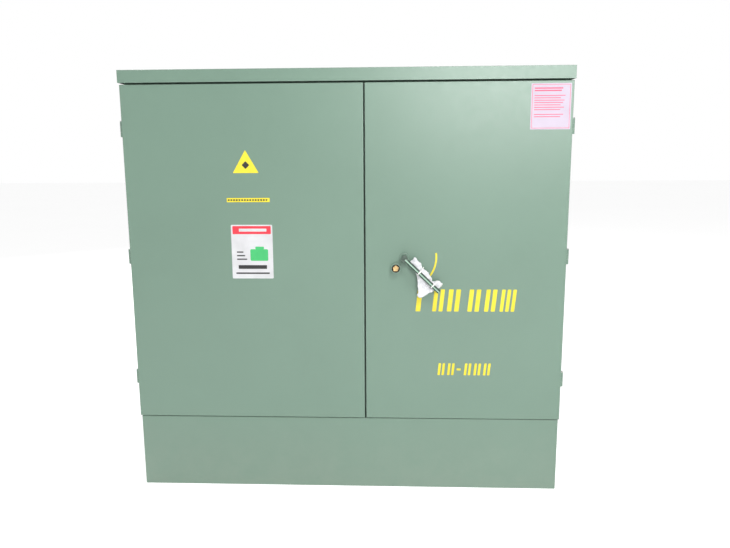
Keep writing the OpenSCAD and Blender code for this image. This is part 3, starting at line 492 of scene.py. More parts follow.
def place_group(tree, name, **inputs):
    """A shared group placed in a material, with its inputs set."""
    made = tree.nodes.new("ShaderNodeGroup")
    made.node_tree = GROUPS[name]
    for label, value in inputs.items():
        made.inputs[label.title().replace("_", " ")].default_value = value
    return made


def mix(tree, factor, first, second):
    """A colour mix; each end is a socket or an RGB triple."""
    made = tree.nodes.new("ShaderNodeMix")
    made.data_type = "RGBA"
    for index, value in ((0, factor), (6, first), (7, second)):
        if isinstance(value, bpy.types.NodeSocket):
            tree.links.new(value, made.inputs[index])
        elif index:
            made.inputs[index].default_value = (*value, 1.0)
        else:
            made.inputs[index].default_value = value
    return made.outputs[2]


def shade(colour, factor):
    """A colour made lighter or darker."""
    return tuple(min(1.0, part * factor) for part in colour)


def new_material(name, metallic=0.0, **constants):
    """A material with a Principled shader, its constants on the shader's own sockets."""
    material = bpy.data.materials.new(name)
    material.use_nodes = True
    shader = material.node_tree.nodes["Principled BSDF"]
    shader.inputs["Metallic"].default_value = metallic
    for label, value in constants.items():
        shader.inputs[label.replace("_", " ")].default_value = value
    return material, material.node_tree, shader


def set_relief(tree, shader, height, strength, distance):
    """Lets a height raise the surface through a bump node."""
    bump = node(tree, "ShaderNodeBump", {"Height": height, "Strength": strength, "Distance": distance})
    tree.links.new(bump.outputs[0], shader.inputs["Normal"])


def surface(name, colour, roughness, worn=None, unevenness=0.08, wear=1.0, dust=0.3, peel=0.12,
            peel_scale=260.0, **constants):
    """An uneven, slightly worn and dusty surface that every solid finish is built from."""
    material, tree, shader = new_material(name, **constants)
    mottle = place_group(tree, "mottle", broad=2.0, fine=60.0)
    edge = place_group(tree, "wear", radius=0.002, amount=wear)
    dirt = place_group(tree, "dust", amount=dust)
    relief = place_group(tree, "peel", scale=peel_scale)
    darker, lighter = shade(colour, 1 - unevenness), shade(colour, 1 + unevenness)
    base = mix(tree, mottle.outputs["Broad"], darker, lighter)
    speckle = maths(tree, "MULTIPLY", mottle.outputs["Fine"], 0.25)
    base = mix(tree, speckle, base, shade(colour, 1 + 1.6 * unevenness))
    base = mix(tree, edge.outputs["Mask"], base, worn or shade(colour, 1.5))
    base = mix(tree, dirt.outputs["Mask"], base, DUST)
    tree.links.new(base, shader.inputs["Base Color"])
    clean = scaled(tree, mottle.outputs["Fine"], 0.12, roughness - 0.06)
    dull = maths(tree, "MULTIPLY", dirt.outputs["Mask"], 0.4)
    tree.links.new(maths(tree, "ADD", clean, dull, clamp=True), shader.inputs["Roughness"])
    set_relief(tree, shader, relief.outputs["Height"], peel, 0.0004)
    return material


def brushed(name, colour, roughness, direction=(1.0, 1.0, 40.0)):
    """Metal with fine lines along one direction, tarnished in patches."""
    material, tree, shader = new_material(name, metallic=1.0)
    stretched = node(tree, "ShaderNodeMapping", {"Vector": object_place(tree), "Scale": direction})
    lines = node(tree, "ShaderNodeTexNoise",
                 {"Vector": stretched.outputs[0], "Scale": 30.0, "Detail": 4.0})
    mottle = place_group(tree, "mottle", broad=22.0, fine=160.0)
    edge = place_group(tree, "wear", radius=0.001, amount=0.8)
    base = mix(tree, mottle.outputs["Broad"], shade(colour, 0.78), shade(colour, 1.06))
    base = mix(tree, edge.outputs["Mask"], base, shade(colour, 1.25))
    tree.links.new(base, shader.inputs["Base Color"])
    rough = scaled(tree, lines.outputs["Fac"], 0.22, roughness - 0.1)
    tree.links.new(rough, shader.inputs["Roughness"])
    set_relief(tree, shader, lines.outputs["Fac"], 0.15, 0.0002)
    return material


def wound(name, colour):
    """Enamelled wire laid in close turns, seen as fine rings up the coil, the grooves between turns darker
    as painted shade.
    """
    material, tree, shader = new_material(name, metallic=0.4)
    turns = node(tree, "ShaderNodeTexWave",
                 {"Vector": object_place(tree), "Scale": 90.0, "Distortion": 0.4}, bands_direction="Z")
    # Darker in the grooves between the turns: painted shade.
    base = mix(tree, turns.outputs["Fac"], shade(colour, 0.45), colour)
    tree.links.new(base, shader.inputs["Base Color"])
    shader.inputs["Roughness"].default_value = 0.35
    set_relief(tree, shader, turns.outputs["Fac"], 0.6, 0.001)
    return material


def film(name, colour, roughness, wrinkle=0.25, scale=70.0, through=0.0):
    """Thin plastic: faint cloudiness, fine wrinkles and a soft shine."""
    material, tree, shader = new_material(
        name, Subsurface_Weight=through, Subsurface_Radius=(0.01, 0.01, 0.01))
    mottle = place_group(tree, "mottle", broad=scale / 3, fine=scale)
    base = mix(tree, mottle.outputs["Broad"], shade(colour, 0.9), shade(colour, 1.04))
    tree.links.new(base, shader.inputs["Base Color"])
    rough = scaled(tree, mottle.outputs["Fine"], 0.2, roughness)
    tree.links.new(rough, shader.inputs["Roughness"])
    creases = node(tree, "ShaderNodeTexVoronoi", {"Vector": object_place(tree), "Scale": scale},
                   feature="DISTANCE_TO_EDGE")
    set_relief(tree, shader, creases.outputs["Distance"], wrinkle, 0.001)
    return material


def clear_glass():
    """Clear glass, a little smeared."""
    material, tree, shader = new_material("gauge_glass", Transmission_Weight=1.0, IOR=1.45)
    mottle = place_group(tree, "mottle", broad=30.0, fine=200.0)
    rough = maths(tree, "MULTIPLY", mottle.outputs["Fine"], 0.06)
    tree.links.new(rough, shader.inputs["Roughness"])
    return material


def build_materials():
    """Builds every finish, by the name of the slot that it fills."""
    paint, labels = settings().paint, settings().labels
    green, worn, yellow = tuple(paint.colour), tuple(paint.worn), tuple(labels.yellow)
    red, ink = tuple(labels.red), tuple(labels.ink)
    MATERIALS.update(
        green_paint=surface("green_enamel", green, paint.roughness, worn=worn, unevenness=0.035,
                            wear=0.7, dust=0.35, Coat_Weight=0.4, Coat_Roughness=0.3),
        # The handle is the same green enamel; this darker copy is painted shade on the lever's sides, hub
        # and shaft.
        handle_paint=surface("handle_enamel", shade(green, 0.32), 0.26, worn=worn, wear=0.8, dust=0.1,
                             peel=0.05, Coat_Weight=0.25, Coat_Roughness=0.12),
        # Lighter copy of the green for the lever's flat ridge: a painted highlight.
        handle_ridge=surface("rubbed_enamel", shade(green, 2.0), 0.3, worn=(0.62, 0.74, 0.66),
                             wear=0.8, dust=0.1, peel=0.05, Coat_Weight=0.4, Coat_Roughness=0.15),
        # Near-black enamel for the inside of the lock collar's mouth: painted shade in the recess round the
        # bolt.
        grime=surface("grimy_enamel", shade(green, 0.16), 0.7, dust=0.2),
        # Near-black steel; on the lock washer it is also painted shade at the foot of the collar's mouth.
        dark_steel=brushed("black_steel", (0.05, 0.05, 0.05), 0.5),
        zinc_steel=brushed("zinc_plate", (0.58, 0.59, 0.58), 0.38),
        rubber=surface("black_rubber", (0.028, 0.028, 0.028), 0.72, wear=0.3, peel=0.3),
        core_steel=brushed("core_laminations", (0.30, 0.31, 0.33), 0.45, direction=(1.0, 60.0, 1.0)),
        copper=wound("enamelled_copper", (0.62, 0.25, 0.10)),
        epoxy=surface("cast_epoxy", (0.16, 0.06, 0.04), 0.22, wear=0.25, dust=0.5, peel=0.05,
                      Coat_Weight=0.4),
        grey_plastic=surface("filled_plastic", (0.42, 0.43, 0.42), 0.5, wear=0.4, peel=0.2,
                             peel_scale=600.0),
        red_plastic=surface("red_moulding", (0.50, 0.035, 0.025), 0.34, wear=0.5, peel=0.08),
        tinned_metal=brushed("tin_plate", (0.72, 0.71, 0.68), 0.3, direction=(40.0, 1.0, 1.0)),
        brass=brushed("yellow_brass", (0.78, 0.55, 0.27), 0.36, direction=(20.0, 20.0, 20.0)),
        label_film=film("white_film", (0.66, 0.66, 0.68), 0.32, wrinkle=0.03),
        label_paper=film("white_sheet", (0.58, 0.51, 0.61), 0.55, wrinkle=0.08, scale=25.0),
        yellow_film=film("yellow_vinyl", yellow, 0.38, wrinkle=0.04),
        red_print=film("red_print", red, 0.35, wrinkle=0.03),
        pink_print=film("pink_print", (0.74, 0.10, 0.20), 0.45, wrinkle=0.03),
        green_print=film("green_print", tuple(labels.green), 0.35, wrinkle=0.03),
        ink=film("dark_print", ink, 0.4, wrinkle=0.03),
        clear_film=film("bag_film", (0.80, 0.80, 0.83), 0.2, wrinkle=0.5, scale=110.0, through=0.3),
        nylon=film("white_nylon", (0.88, 0.88, 0.85), 0.3, wrinkle=0.05, through=0.1),
        dial=film("dial_card", (0.90, 0.90, 0.86), 0.4, wrinkle=0.02),
        glass=clear_glass())


# ---- Operators ----


class Make:
    """What every operator of this object shares."""
    bl_options = {"REGISTER", "UNDO"}


class TRANSFORMER_OT_materials(Make, Operator):
    """Builds the shader groups and the finishes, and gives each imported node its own"""
    bl_idname = "transformer.materials"
    bl_label = "Finishes"

    def execute(self, context):
        build_groups()
        build_materials()
        for name, packed in frame["nodes"].items():
            packed.data.materials.clear()
            packed.data.materials.append(MATERIALS[slot_of_node(name)])
        return {"FINISHED"}


def near(value, target, reach=0.4 * MM):
    """Whether two lengths are the same, as far as picking an edge goes."""
    return abs(value - target) < reach


def front_folds(node):
    """Picks the edges round a sheet part's front face and its upright front corners."""
    low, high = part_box(node)

    def test(middle, direction):
        on_front = near(middle.y, low.y)
        on_rim = (near(middle.x, low.x) or near(middle.x, high.x) or near(middle.z, low.z)
                  or near(middle.z, high.z))
        return on_front and on_rim
    return test


class TRANSFORMER_OT_doors(Make, Operator):
    """The two door pans, their front edges bent to the fold radius"""
    bl_idname = "transformer.doors"
    bl_label = "Doors"

    def execute(self, context):
        paint = settings().paint
        for door in ("left_door", "right_door"):
            softened_copy(door, MATERIALS["green_paint"], paint.arris, front_folds(door), paint.edge_radius)
        return {"FINISHED"}


def roof_folds(middle, direction):
    """The roof's top rim and its two upright front corners."""
    low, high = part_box("roof")
    side = near(middle.x, low.x) or near(middle.x, high.x)
    end = near(middle.y, low.y) or near(middle.y, high.y)
    return (side or end) and (near(middle.z, high.z) or abs(direction.z) > 0.9)


class TRANSFORMER_OT_cabinet(Make, Operator):
    """Roof, sill, sides, header and barrier with bent folds"""
    bl_idname = "transformer.cabinet"
    bl_label = "Cabinet"

    def execute(self, context):
        paint = settings().paint
        green = MATERIALS["green_paint"]
        softened_copy("roof", green, paint.arris, roof_folds, paint.edge_radius)
        softened_copy("front_sill", green, paint.arris, front_folds("front_sill"), paint.edge_radius)
        for name in ("left_cabinet_side", "right_cabinet_side", "header", "barrier", "base_rails",
                     "left_stiffeners", "right_stiffeners"):
            softened_copy(name, green, paint.arris)
        for name in ("frame_hinge_leaves", "left_door_leaves", "right_door_leaves"):
            softened_copy(name, green, paint.arris, clamp=True)
        return {"FINISHED"}


class TRANSFORMER_OT_tank(Make, Operator):
    """Tank shell, front plate, cover and lifting lugs with eased edges"""
    bl_idname = "transformer.tank"
    bl_label = "Tank"

    def execute(self, context):
        green = MATERIALS["green_paint"]
        for name in ("tank_shell", "tank_front_plate", "tank_cover", "handhole_cover", "lifting_lugs"):
            softened_copy(name, green, 1.2 * MM)
        for name in ("spade_terminals", "ground_pads", "parking_stands", "bolts", "operator_bosses"):
            softened_copy(name, MATERIALS[slot_of_node(name)], 0.8 * MM)
        return {"FINISHED"}


class TRANSFORMER_OT_fins(Make, Operator):
    """Cooling fins: hollow pressed panels with rounded rims and pressed ribs"""
    bl_idname = "transformer.fins"
    bl_label = "Cooling fins"

    def execute(self, context):
        rim, slope, depth = 18 * MM, 4 * MM, 2 * MM
        piece = welded_copy("cooling_fins", "cooling_fin_panels")
        with editing(piece) as shape:
            panel = 0.3 * max(face.calc_area() for face in shape.faces)
            for face in shape.faces:
                face.select_set(face.calc_area() > panel)
            bmesh.update_edit_mesh(piece.data)
            bpy.ops.mesh.inset(thickness=rim, use_individual=True)
            bpy.ops.mesh.inset(thickness=slope, depth=-depth, use_individual=True)
        soften(piece, 1.8 * MM, angle=50)
        dress(piece, "cabinet", MATERIALS["green_paint"], ["cooling_fins"])
        return {"FINISHED"}


# ---- Latch handle and lock ----


class TRANSFORMER_OT_handle(Make, Operator):
    """Lever with a pressed rib, its hub and the shaft behind the door"""
    bl_idname = "transformer.handle"
    bl_label = "Handle"

    def execute(self, context):
        sizes = settings().lever
        cam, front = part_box("latch_cam")[0].y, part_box("lever")[0].y
        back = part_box("cable_ties")[1].y - 1.2 * MM
        half = sizes.half_width
        bar = add_block("lever_bar", (0.004, front, -half), (sizes.length, back, half))
        with editing(bar, "EDGE") as shape:
            choose_edges(bar, shape, lambda middle, way: near(middle.y, front) and abs(way.x) > 0.9)
            bpy.ops.mesh.bevel(offset=sizes.chamfer, segments=1, affect="EDGES")
        soften(bar, 0.9 * MM, segments=3, angle=30)
        place_on_lever(bar)
        hub = add_round("lever_hub", sizes.hub_radius, (HUB[0], front, HUB[1]),
                        (HUB[0], FACE_Y - 8.5 * MM, HUB[1]))
        dish(hub, 3.2 * MM, 1.0 * MM)
        soften(hub, 2.6 * MM, segments=4)
        shaft = add_round("lever_shaft", sizes.shaft_radius, (HUB[0], FACE_Y - 9 * MM, HUB[1]),
                          (HUB[0], cam, HUB[1]))
        lever = join([bar, hub, shaft], "lever_finish")
        # The whole lever takes the darker green as painted shade; only its flat ridge is lighter.
        dress(lever, "handle", MATERIALS["handle_paint"], ["lever"])
        # The flat front ridge of the lever gets the lighter green as a painted highlight.
        add_finish(lever, MATERIALS["handle_ridge"],
                   lambda middle, normal: normal.y < -0.96 and near(middle.y, front))
        for name in ("latch_cam", "upper_rod", "lower_rod"):
            softened_copy(name, MATERIALS["zinc_steel"], 0.6 * MM)
        return {"FINISHED"}


class TRANSFORMER_OT_lock(Make, Operator):
    """Lock collar with a rounded mouth, and the five-sided brass bolt"""
    bl_idname = "transformer.lock"
    bl_label = "Lock"

    def execute(self, context):
        collar = softened_copy("lock_collar", MATERIALS["green_paint"], 0.9 * MM)
        # The washer is near black: black steel, and painted shade for the dark ring round the bolt head.
        softened_copy("lock_washer", MATERIALS["dark_steel"], 0.3 * MM)
        low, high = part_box("lock_bolt")
        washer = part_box("lock_washer")
        x, z = (washer[0].x + washer[1].x) / 2, (washer[0].z + washer[1].z) / 2
        mouth, head_depth = 17 * MM, 8.9 * MM

        def inside_mouth(middle, normal):
            return abs(normal.y) < 0.5 and math.hypot(middle.x - x, middle.z - z) < mouth

        # The faces inside the collar's mouth are painted near black as painted shade in the recess.
        add_finish(collar, MATERIALS["grime"], inside_mouth)
        deselect()
        bpy.ops.mesh.primitive_cylinder_add(
            vertices=5, radius=12.5 * MM, depth=head_depth, location=(x, low.y + head_depth / 2, z),
            rotation=(math.pi / 2, 0, 0))
        head = settle(bpy.context.object)
        dish(head, 2.6 * MM, 0.8 * MM)
        soften(head, 0.9 * MM, segments=3, angle=30)
        shank = add_round("shank", 6.35 * MM, (x, low.y + 9 * MM, z), (x, high.y, z), sides=32)
        bolt = join([head, shank], "lock_bolt_finish")
        dress(bolt, "lock_bolt", MATERIALS["brass"], ["lock_bolt"])
        return {"FINISHED"}


# ---- Labels ----


def add_card(name, low, high, corner):
    """A thin card with rounded corners, flat on a door."""
    piece = add_block(name, low, high)
    with editing(piece, "EDGE") as shape:
        choose_edges(piece, shape, lambda middle, way: abs(way.y) > 0.9)
        bpy.ops.mesh.bevel(offset=corner, segments=5, affect="EDGES")
    return piece


def add_print(name, origin, patches, top, corner):
    """Very thin rounded patches; each is x, z, width and height in millimetres from an origin."""
    made = []
    for x, z, width, height in patches:
        left, foot = origin.x + x * MM, origin.z + z * MM
        rounding = min(corner, width * MM / 3, height * MM / 3)
        made.append(add_card("patch", (left, top - PRINT, foot),
                             (left + width * MM, top, foot + height * MM), rounding))
    return join(made, name)


# The left door's labels, as x, z, width and height in millimetres from their lower left corner.
PLACARD = (11.5, 0, 162, 211.5)
STRIP = (0, 299, 166.5, 16)
HEADER = [(17.5, 175, 150, 31.5)]
HEADER_BAR = [(42.5, 185, 108, 11.5)]
GREEN_BLOCK = [(84.5, 70, 70, 46), (104.5, 116, 34, 10)]
DARK_BARS = [(31.5, 74, 40, 5), (31.5, 88, 32, 5), (31.5, 102, 26, 5), (36.5, 38, 112, 15),
             (26.5, 18, 132, 6)]
STRIP_DOT = [(4, 304, 7, 6)]
DOT_COUNT = 15
DOT_PITCH = 10.5 * MM
TRIANGLE_MIDDLE = 77.5 * MM
TRIANGLE_SIDE = 100 * MM


class TRANSFORMER_OT_left_labels(Make, Operator):
    """Plain triangle, strip and placard on the left door"""
    bl_idname = "transformer.left_labels"
    bl_label = "Left door labels"

    def execute(self, context):
        low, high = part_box("left_labels")
        top = FACE_Y - 0.3 * MM
        triangle = self.triangle(low.x + TRIANGLE_MIDDLE, high.z)
        strip = self.card("strip", low, STRIP, FACE_Y - 0.5 * MM, 1 * MM)
        yellow = join([triangle, strip], "yellow_labels")
        dress(yellow, "left_door", MATERIALS["yellow_film"])
        placard = self.card("placard", low, PLACARD, top, 4 * MM)
        dress(placard, "left_door", MATERIALS["label_film"], ["left_labels"])
        for name, patches, face, corner, finish in (
                ("red_header", HEADER, top, 3 * MM, "red_print"),
                ("header_bar", HEADER_BAR, top - PRINT, 2 * MM, "label_film"),
                ("green_block", GREEN_BLOCK, top, 5 * MM, "green_print")):
            patch = add_print(name, low, patches, face, corner)
            dress(patch, "left_door", MATERIALS[finish])
        bars = add_print("dark_bars", low, DARK_BARS, top, 1.5 * MM)
        dot = add_print("strip_dot", low, STRIP_DOT, FACE_Y - 0.5 * MM, 0.6 * MM)
        steps = [Matrix.Translation((step * DOT_PITCH, 0, 0)) for step in range(DOT_COUNT)]
        mark = self.diamond(low.x + TRIANGLE_MIDDLE, high.z)
        ink = join([bars, *arrange(dot, steps), mark], "dark_print")
        dress(ink, "left_door", MATERIALS["ink"])
        return {"FINISHED"}

    def card(self, name, origin, place, face, corner):
        """One plain card, from the door's front to a face in front of it."""
        x, z, width, height = (part * MM for part in place)
        left, foot = origin.x + x, origin.z + z
        return add_card(name, (left, face, foot), (left + width, FACE_Y, foot + height), corner)

    def triangle(self, middle, tip):
        """The triangle with rounded corners, its tip up."""
        thickness = 0.3 * MM
        radius = TRIANGLE_SIDE / math.sqrt(3)
        deselect()
        bpy.ops.mesh.primitive_cylinder_add(
            vertices=3, radius=radius, depth=thickness,
            location=(middle, FACE_Y - thickness / 2, tip - radius), rotation=(math.pi / 2, 0, 0))
        piece = settle(bpy.context.object)
        with editing(piece, "EDGE") as shape:
            choose_edges(piece, shape, lambda middle, way: abs(way.y) > 0.9)
            bpy.ops.mesh.bevel(offset=2.5 * MM, segments=4, affect="EDGES")
        return piece

    def diamond(self, middle, tip):
        """The plain diamond on the triangle."""
        half = 10.5 * MM
        foot = tip - TRIANGLE_SIDE * math.sin(math.pi / 3)
        piece = add_card("mark", (-half, 0, -half), (half, PRINT, half), 2 * MM)
        piece.data.transform(turned_at(middle, foot + 30 * MM, math.radians(45)))
        piece.data.transform(Matrix.Translation((0, FACE_Y - 0.38 * MM, 0)))
        return piece


class TRANSFORMER_OT_paper_label(Make, Operator):
    """White sheet with a pink frame and plain ruled rows on the right door"""
    bl_idname = "transformer.paper_label"
    bl_label = "Paper label"

    def execute(self, context):
        low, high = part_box("paper_label")
        top = low.y + 0.1 * MM
        sheet = add_card("paper_sheet", (low.x, top, low.z), (high.x, high.y, high.z), 1.5 * MM)
        dress(sheet, "right_door", MATERIALS["label_paper"], ["paper_label"])
        edge, line = 4, 1.6
        width, height = (high.x - low.x) / MM - 2 * edge, (high.z - low.z) / MM - 2 * edge
        patches = [
            (edge, edge + height - line, width, line), (edge, edge, width, line),
            (edge, edge, line, height), (edge + width - line, edge, line, height)]
        first, pitch, indent = 16, 8.5, 8
        widths = random.Random(7)
        for row in range(13):
            if row in (2, 10):
                continue
            z = edge + height - first - row * pitch
            thickness = 4.5 if row < 2 else 2.8
            patches.append((edge + indent, z, widths.uniform(95, 124), thickness))
        pink = add_print("pink_print", low, patches, top, 0.6 * MM)
        dress(pink, "right_door", MATERIALS["pink_print"])
        return {"FINISHED"}


# Blocks of the two rows of bars, as x and width in millimetres and the number of bars, 0 for a dash.
TALL_ROW = [(0, 30, 1), (65, 50, 2), (122, 57, 2), (202, 55, 2), (267, 52, 2), (327, 65, 3)]
SHORT_ROW = [(89, 32, 2), (127, 32, 2), (165, 16, 0), (193, 32, 2), (231, 32, 2), (269, 32, 2)]


class TRANSFORMER_OT_yellow_marks(Make, Operator):
    """Rows of slanted bars in place of the rating, and the curved marks round the handle"""
    bl_idname = "transformer.yellow_marks"
    bl_label = "Yellow marks"

    def execute(self, context):
        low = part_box("yellow_marks")[0]
        top = FACE_Y - 0.35 * MM
        marks = []
        for row, foot, height, share in ((TALL_ROW, 260, 88, 0.62), (SHORT_ROW, 0, 49, 0.60)):
            z0, z1 = low.z + foot * MM, low.z + (foot + height) * MM
            for x, width, bars in row:
                marks += self.slanted(low.x + x * MM, width * MM, bars, z0, z1, share, top)
        marks.append(self.arc(top))
        yellow = join(marks, "yellow_bars")
        dress(yellow, "right_door", MATERIALS["yellow_film"], ["yellow_marks"])
        return {"FINISHED"}

    def slanted(self, x, width, bars, z0, z1, share, top):
        """One block of the row: slanted bars, or a short level one where bars is 0."""
        if not bars:
            low, high = (x, top, z0 + 20 * MM), (x + width, FACE_Y, z0 + 28 * MM)
            return [add_card("dash", low, high, 1 * MM)]
        pitch = width / bars
        bar = add_card("bar", (x, top, z0), (x + pitch * share, FACE_Y, z1), 2.5 * MM)
        for corner in bar.data.vertices:
            corner.co.x += 0.10 * (corner.co.z - z0)
        return arrange(bar, [Matrix.Translation((step * pitch, 0, 0)) for step in range(bars)])

    def arc(self, top):
        """The curved mark, swept down round the handle's axis from just above level."""
        above, sweep, radius, width = math.radians(8), math.radians(46), 120 * MM, 7 * MM
        sliver = 0.01 * MM
        piece = add_block("arc", (radius, top, -sliver), (radius + width, FACE_Y, sliver))
        with editing(piece) as shape:
            choose_faces(piece, shape, lambda middle, normal: normal.z > 0.9)
            bpy.ops.mesh.spin(steps=24, angle=sweep, center=(0, 0, 0), axis=(0, -1, 0), dupli=False)
        piece.data.transform(turned_at(*HUB, -above))
        return piece


# ---- Soft parts on the lever ----

# The bag's outline, as millimetres along the lever from its hub and above the lever's middle.
BAG_OUTLINE = [
    (27, 4), (31, 29), (45, 27), (60, 28), (78, 19), (92, 22), (107, 20), (128, 16), (140, 9),
    (158, 27), (175, 28), (176, 12), (170, -8), (158, -48), (150, -66), (137, -68), (124, -50),
    (102, -30), (80, -15), (56, -7), (36, -2)]
BAG_HALF = 5 * MM
# Where the two ties stand along the lever, and how far each tail curls sideways.
TIE_PLACES = (78 * MM, 150 * MM)
TAIL_TURNS = (-0.5, 0.7)


class TRANSFORMER_OT_accessory_bag(Make, Operator):
    """Crumpled film bag of small parts, puffed by cloth simulation behind the lever"""
    bl_idname = "transformer.accessory_bag"
    bl_label = "Accessory bag"

    def execute(self, context):
        bag_settings = settings().bag
        low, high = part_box("accessory_bag")
        middle = (low.y + high.y) / 2
        deselect()
        bpy.ops.mesh.primitive_circle_add(vertices=len(BAG_OUTLINE), radius=1, fill_type="NGON")
        bag = bpy.context.object
        bag.name = "accessory_bag_film"
        with editing(bag) as shape:
            shape.verts.ensure_lookup_table()
            for corner, (along, across) in zip(shape.verts, BAG_OUTLINE):
                corner.co = Vector((along * MM, middle - BAG_HALF, across * MM))
            bmesh.update_edit_mesh(bag.data)
            bpy.ops.mesh.select_all(action="SELECT")
            bpy.ops.mesh.extrude_region_move(TRANSFORM_OT_translate={"value": (0, 2 * BAG_HALF, 0)})
            bpy.ops.mesh.select_all(action="SELECT")
            bpy.ops.mesh.normals_make_consistent(inside=False)
        apply_modifier(bag, "REMESH", mode="VOXEL", voxel_size=2.2 * MM)
        start = [corner.co.copy() for corner in bag.data.vertices]
        self.puff(bag, bag_settings.pressure)
        self.cap(bag, start, 8 * MM)
        self.crumple(bag, bag_settings)
        for corner in bag.data.vertices:
            self.gather(corner, middle)
            corner.co.y = min(max(corner.co.y, low.y + 0.6 * MM), high.y - 0.6 * MM)
        place_on_lever(bag)
        dress(bag, "handle", MATERIALS["clear_film"], ["accessory_bag"])
        make_active(bag)
        bpy.ops.object.shade_flat()
        return {"FINISHED"}

    def puff(self, bag, pressure):
        """Blows the bag up a little with cloth simulation and keeps the result."""
        scene = bpy.context.scene
        make_active(bag)
        cloth = bag.modifiers.new("Cloth", "CLOTH")
        cloth.settings.use_pressure = True
        cloth.settings.uniform_pressure_force = pressure
        cloth.settings.shrink_min = -0.04
        cloth.settings.effector_weights.gravity = 0
        for step in range(1, 21):
            scene.frame_set(step)
        bpy.ops.object.modifier_apply(modifier=cloth.name)
        scene.frame_set(1)

    def cap(self, bag, start, reach):
        """No point moves further than a set reach from where it started."""
        for corner, before in zip(bag.data.vertices, start):
            moved = corner.co - before
            if moved.length > reach:
                corner.co = before + moved.normalized() * reach

    def crumple(self, bag, bag_settings):
        """Creases: broken cells pushed in and out, then cut down to flat facets."""
        cells = bpy.data.textures.new("Film creases", "VORONOI")
        cells.noise_scale = 0.021
        cells.distance_metric = "DISTANCE"
        apply_modifier(bag, "DISPLACE", texture=cells, texture_coords="LOCAL", mid_level=0.45,
                       strength=bag_settings.crumple * 2)
        folds = bpy.data.textures.new("Film folds", "CLOUDS")
        folds.noise_scale = 0.012
        folds.noise_depth = 1
        apply_modifier(bag, "DISPLACE", texture=folds, texture_coords="LOCAL", mid_level=0.5,
                       strength=bag_settings.crumple)
        apply_modifier(bag, "DECIMATE", ratio=0.10)

    def gather(self, corner, middle):
        """Draws the film in where a tie holds it."""
        for place in TIE_PLACES:
            closeness = max(0.0, 1 - abs(corner.co.x - place) / (9 * MM))
            if abs(corner.co.z) < 16 * MM:
                corner.co.y += (middle - corner.co.y) * 0.6 * closeness


class TRANSFORMER_OT_cable_ties(Make, Operator):
    """Two nylon ties round the lever, each a band, a ratchet head and a cut tail"""
    bl_idname = "transformer.cable_ties"
    bl_label = "Cable ties"

    def execute(self, context):
        low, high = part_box("cable_ties")
        start = TIE_PLACES[0]
        band = add_block("band", (start - 2 * MM, low.y, -9.2 * MM), (start + 2 * MM, high.y, 9.2 * MM))
        with editing(band) as shape:
            choose_faces(band, shape, lambda middle, normal: abs(normal.x) > 0.9)
            bpy.ops.mesh.delete(type="FACE")
        with editing(band, "EDGE") as shape:
            choose_edges(band, shape, lambda middle, way: abs(way.x) > 0.9)
            bpy.ops.mesh.bevel(offset=2 * MM, segments=3, affect="EDGES")
        apply_modifier(band, "SOLIDIFY", thickness=1.0 * MM, offset=-1)
        soften(band, 0.25 * MM, angle=50)
        head = add_block("head", (start - 3 * MM, low.y - 0.6 * MM, 2.5 * MM),
                         (start + 3 * MM, low.y + 3.4 * MM, 9 * MM))
        soften(head, 0.8 * MM)
        places = [Matrix.Translation((place - start, 0, 0)) for place in TIE_PLACES]
        parts = arrange(join([band, head], "tie"), places)
        for place, turn in zip(TIE_PLACES, TAIL_TURNS):
            parts.append(self.tail(place, low.y + 1.0 * MM, turn))
        ties = join(parts, "cable_ties_nylon")
        place_on_lever(ties)
        dress(ties, "handle", MATERIALS["nylon"], ["cable_ties"])
        return {"FINISHED"}

    def tail(self, place, front, turn):
        """A tie's cut tail, curling back and to one side."""
        half, thickness, start, length = 1.8 * MM, 0.9 * MM, 8 * MM, 20 * MM
        piece = add_block("tail", (place - half, front, start),
                          (place + half, front + thickness, start + length))
        with editing(piece):
            bpy.ops.mesh.select_all(action="SELECT")
            bpy.ops.mesh.subdivide(number_cuts=8)
        for corner in piece.data.vertices:
            rise = (corner.co.z - start) / length
            corner.co.y += 6 * MM * rise * rise
            corner.co.x += 7 * MM * turn * rise * rise
        return piece


# ---- Terminals and gauges ----


class TRANSFORMER_OT_terminals(Make, Operator):
    """Bushings, fuses and operating handles with eased edges"""
    bl_idname = "transformer.terminals"
    bl_label = "Terminals"

    def execute(self, context):
        for name in ("hv_bushings", "lv_bushings", "fuse_housings", "fuse_holder_1", "fuse_holder_2",
                     "fuse_holder_3", "switch_handle", "tap_changer_knob", "relief_valve", "drain_valve",
                     "gauge_cases", "nameplate"):
            softened_copy(name, MATERIALS[slot_of_node(name)], 0.7 * MM)
        return {"FINISHED"}


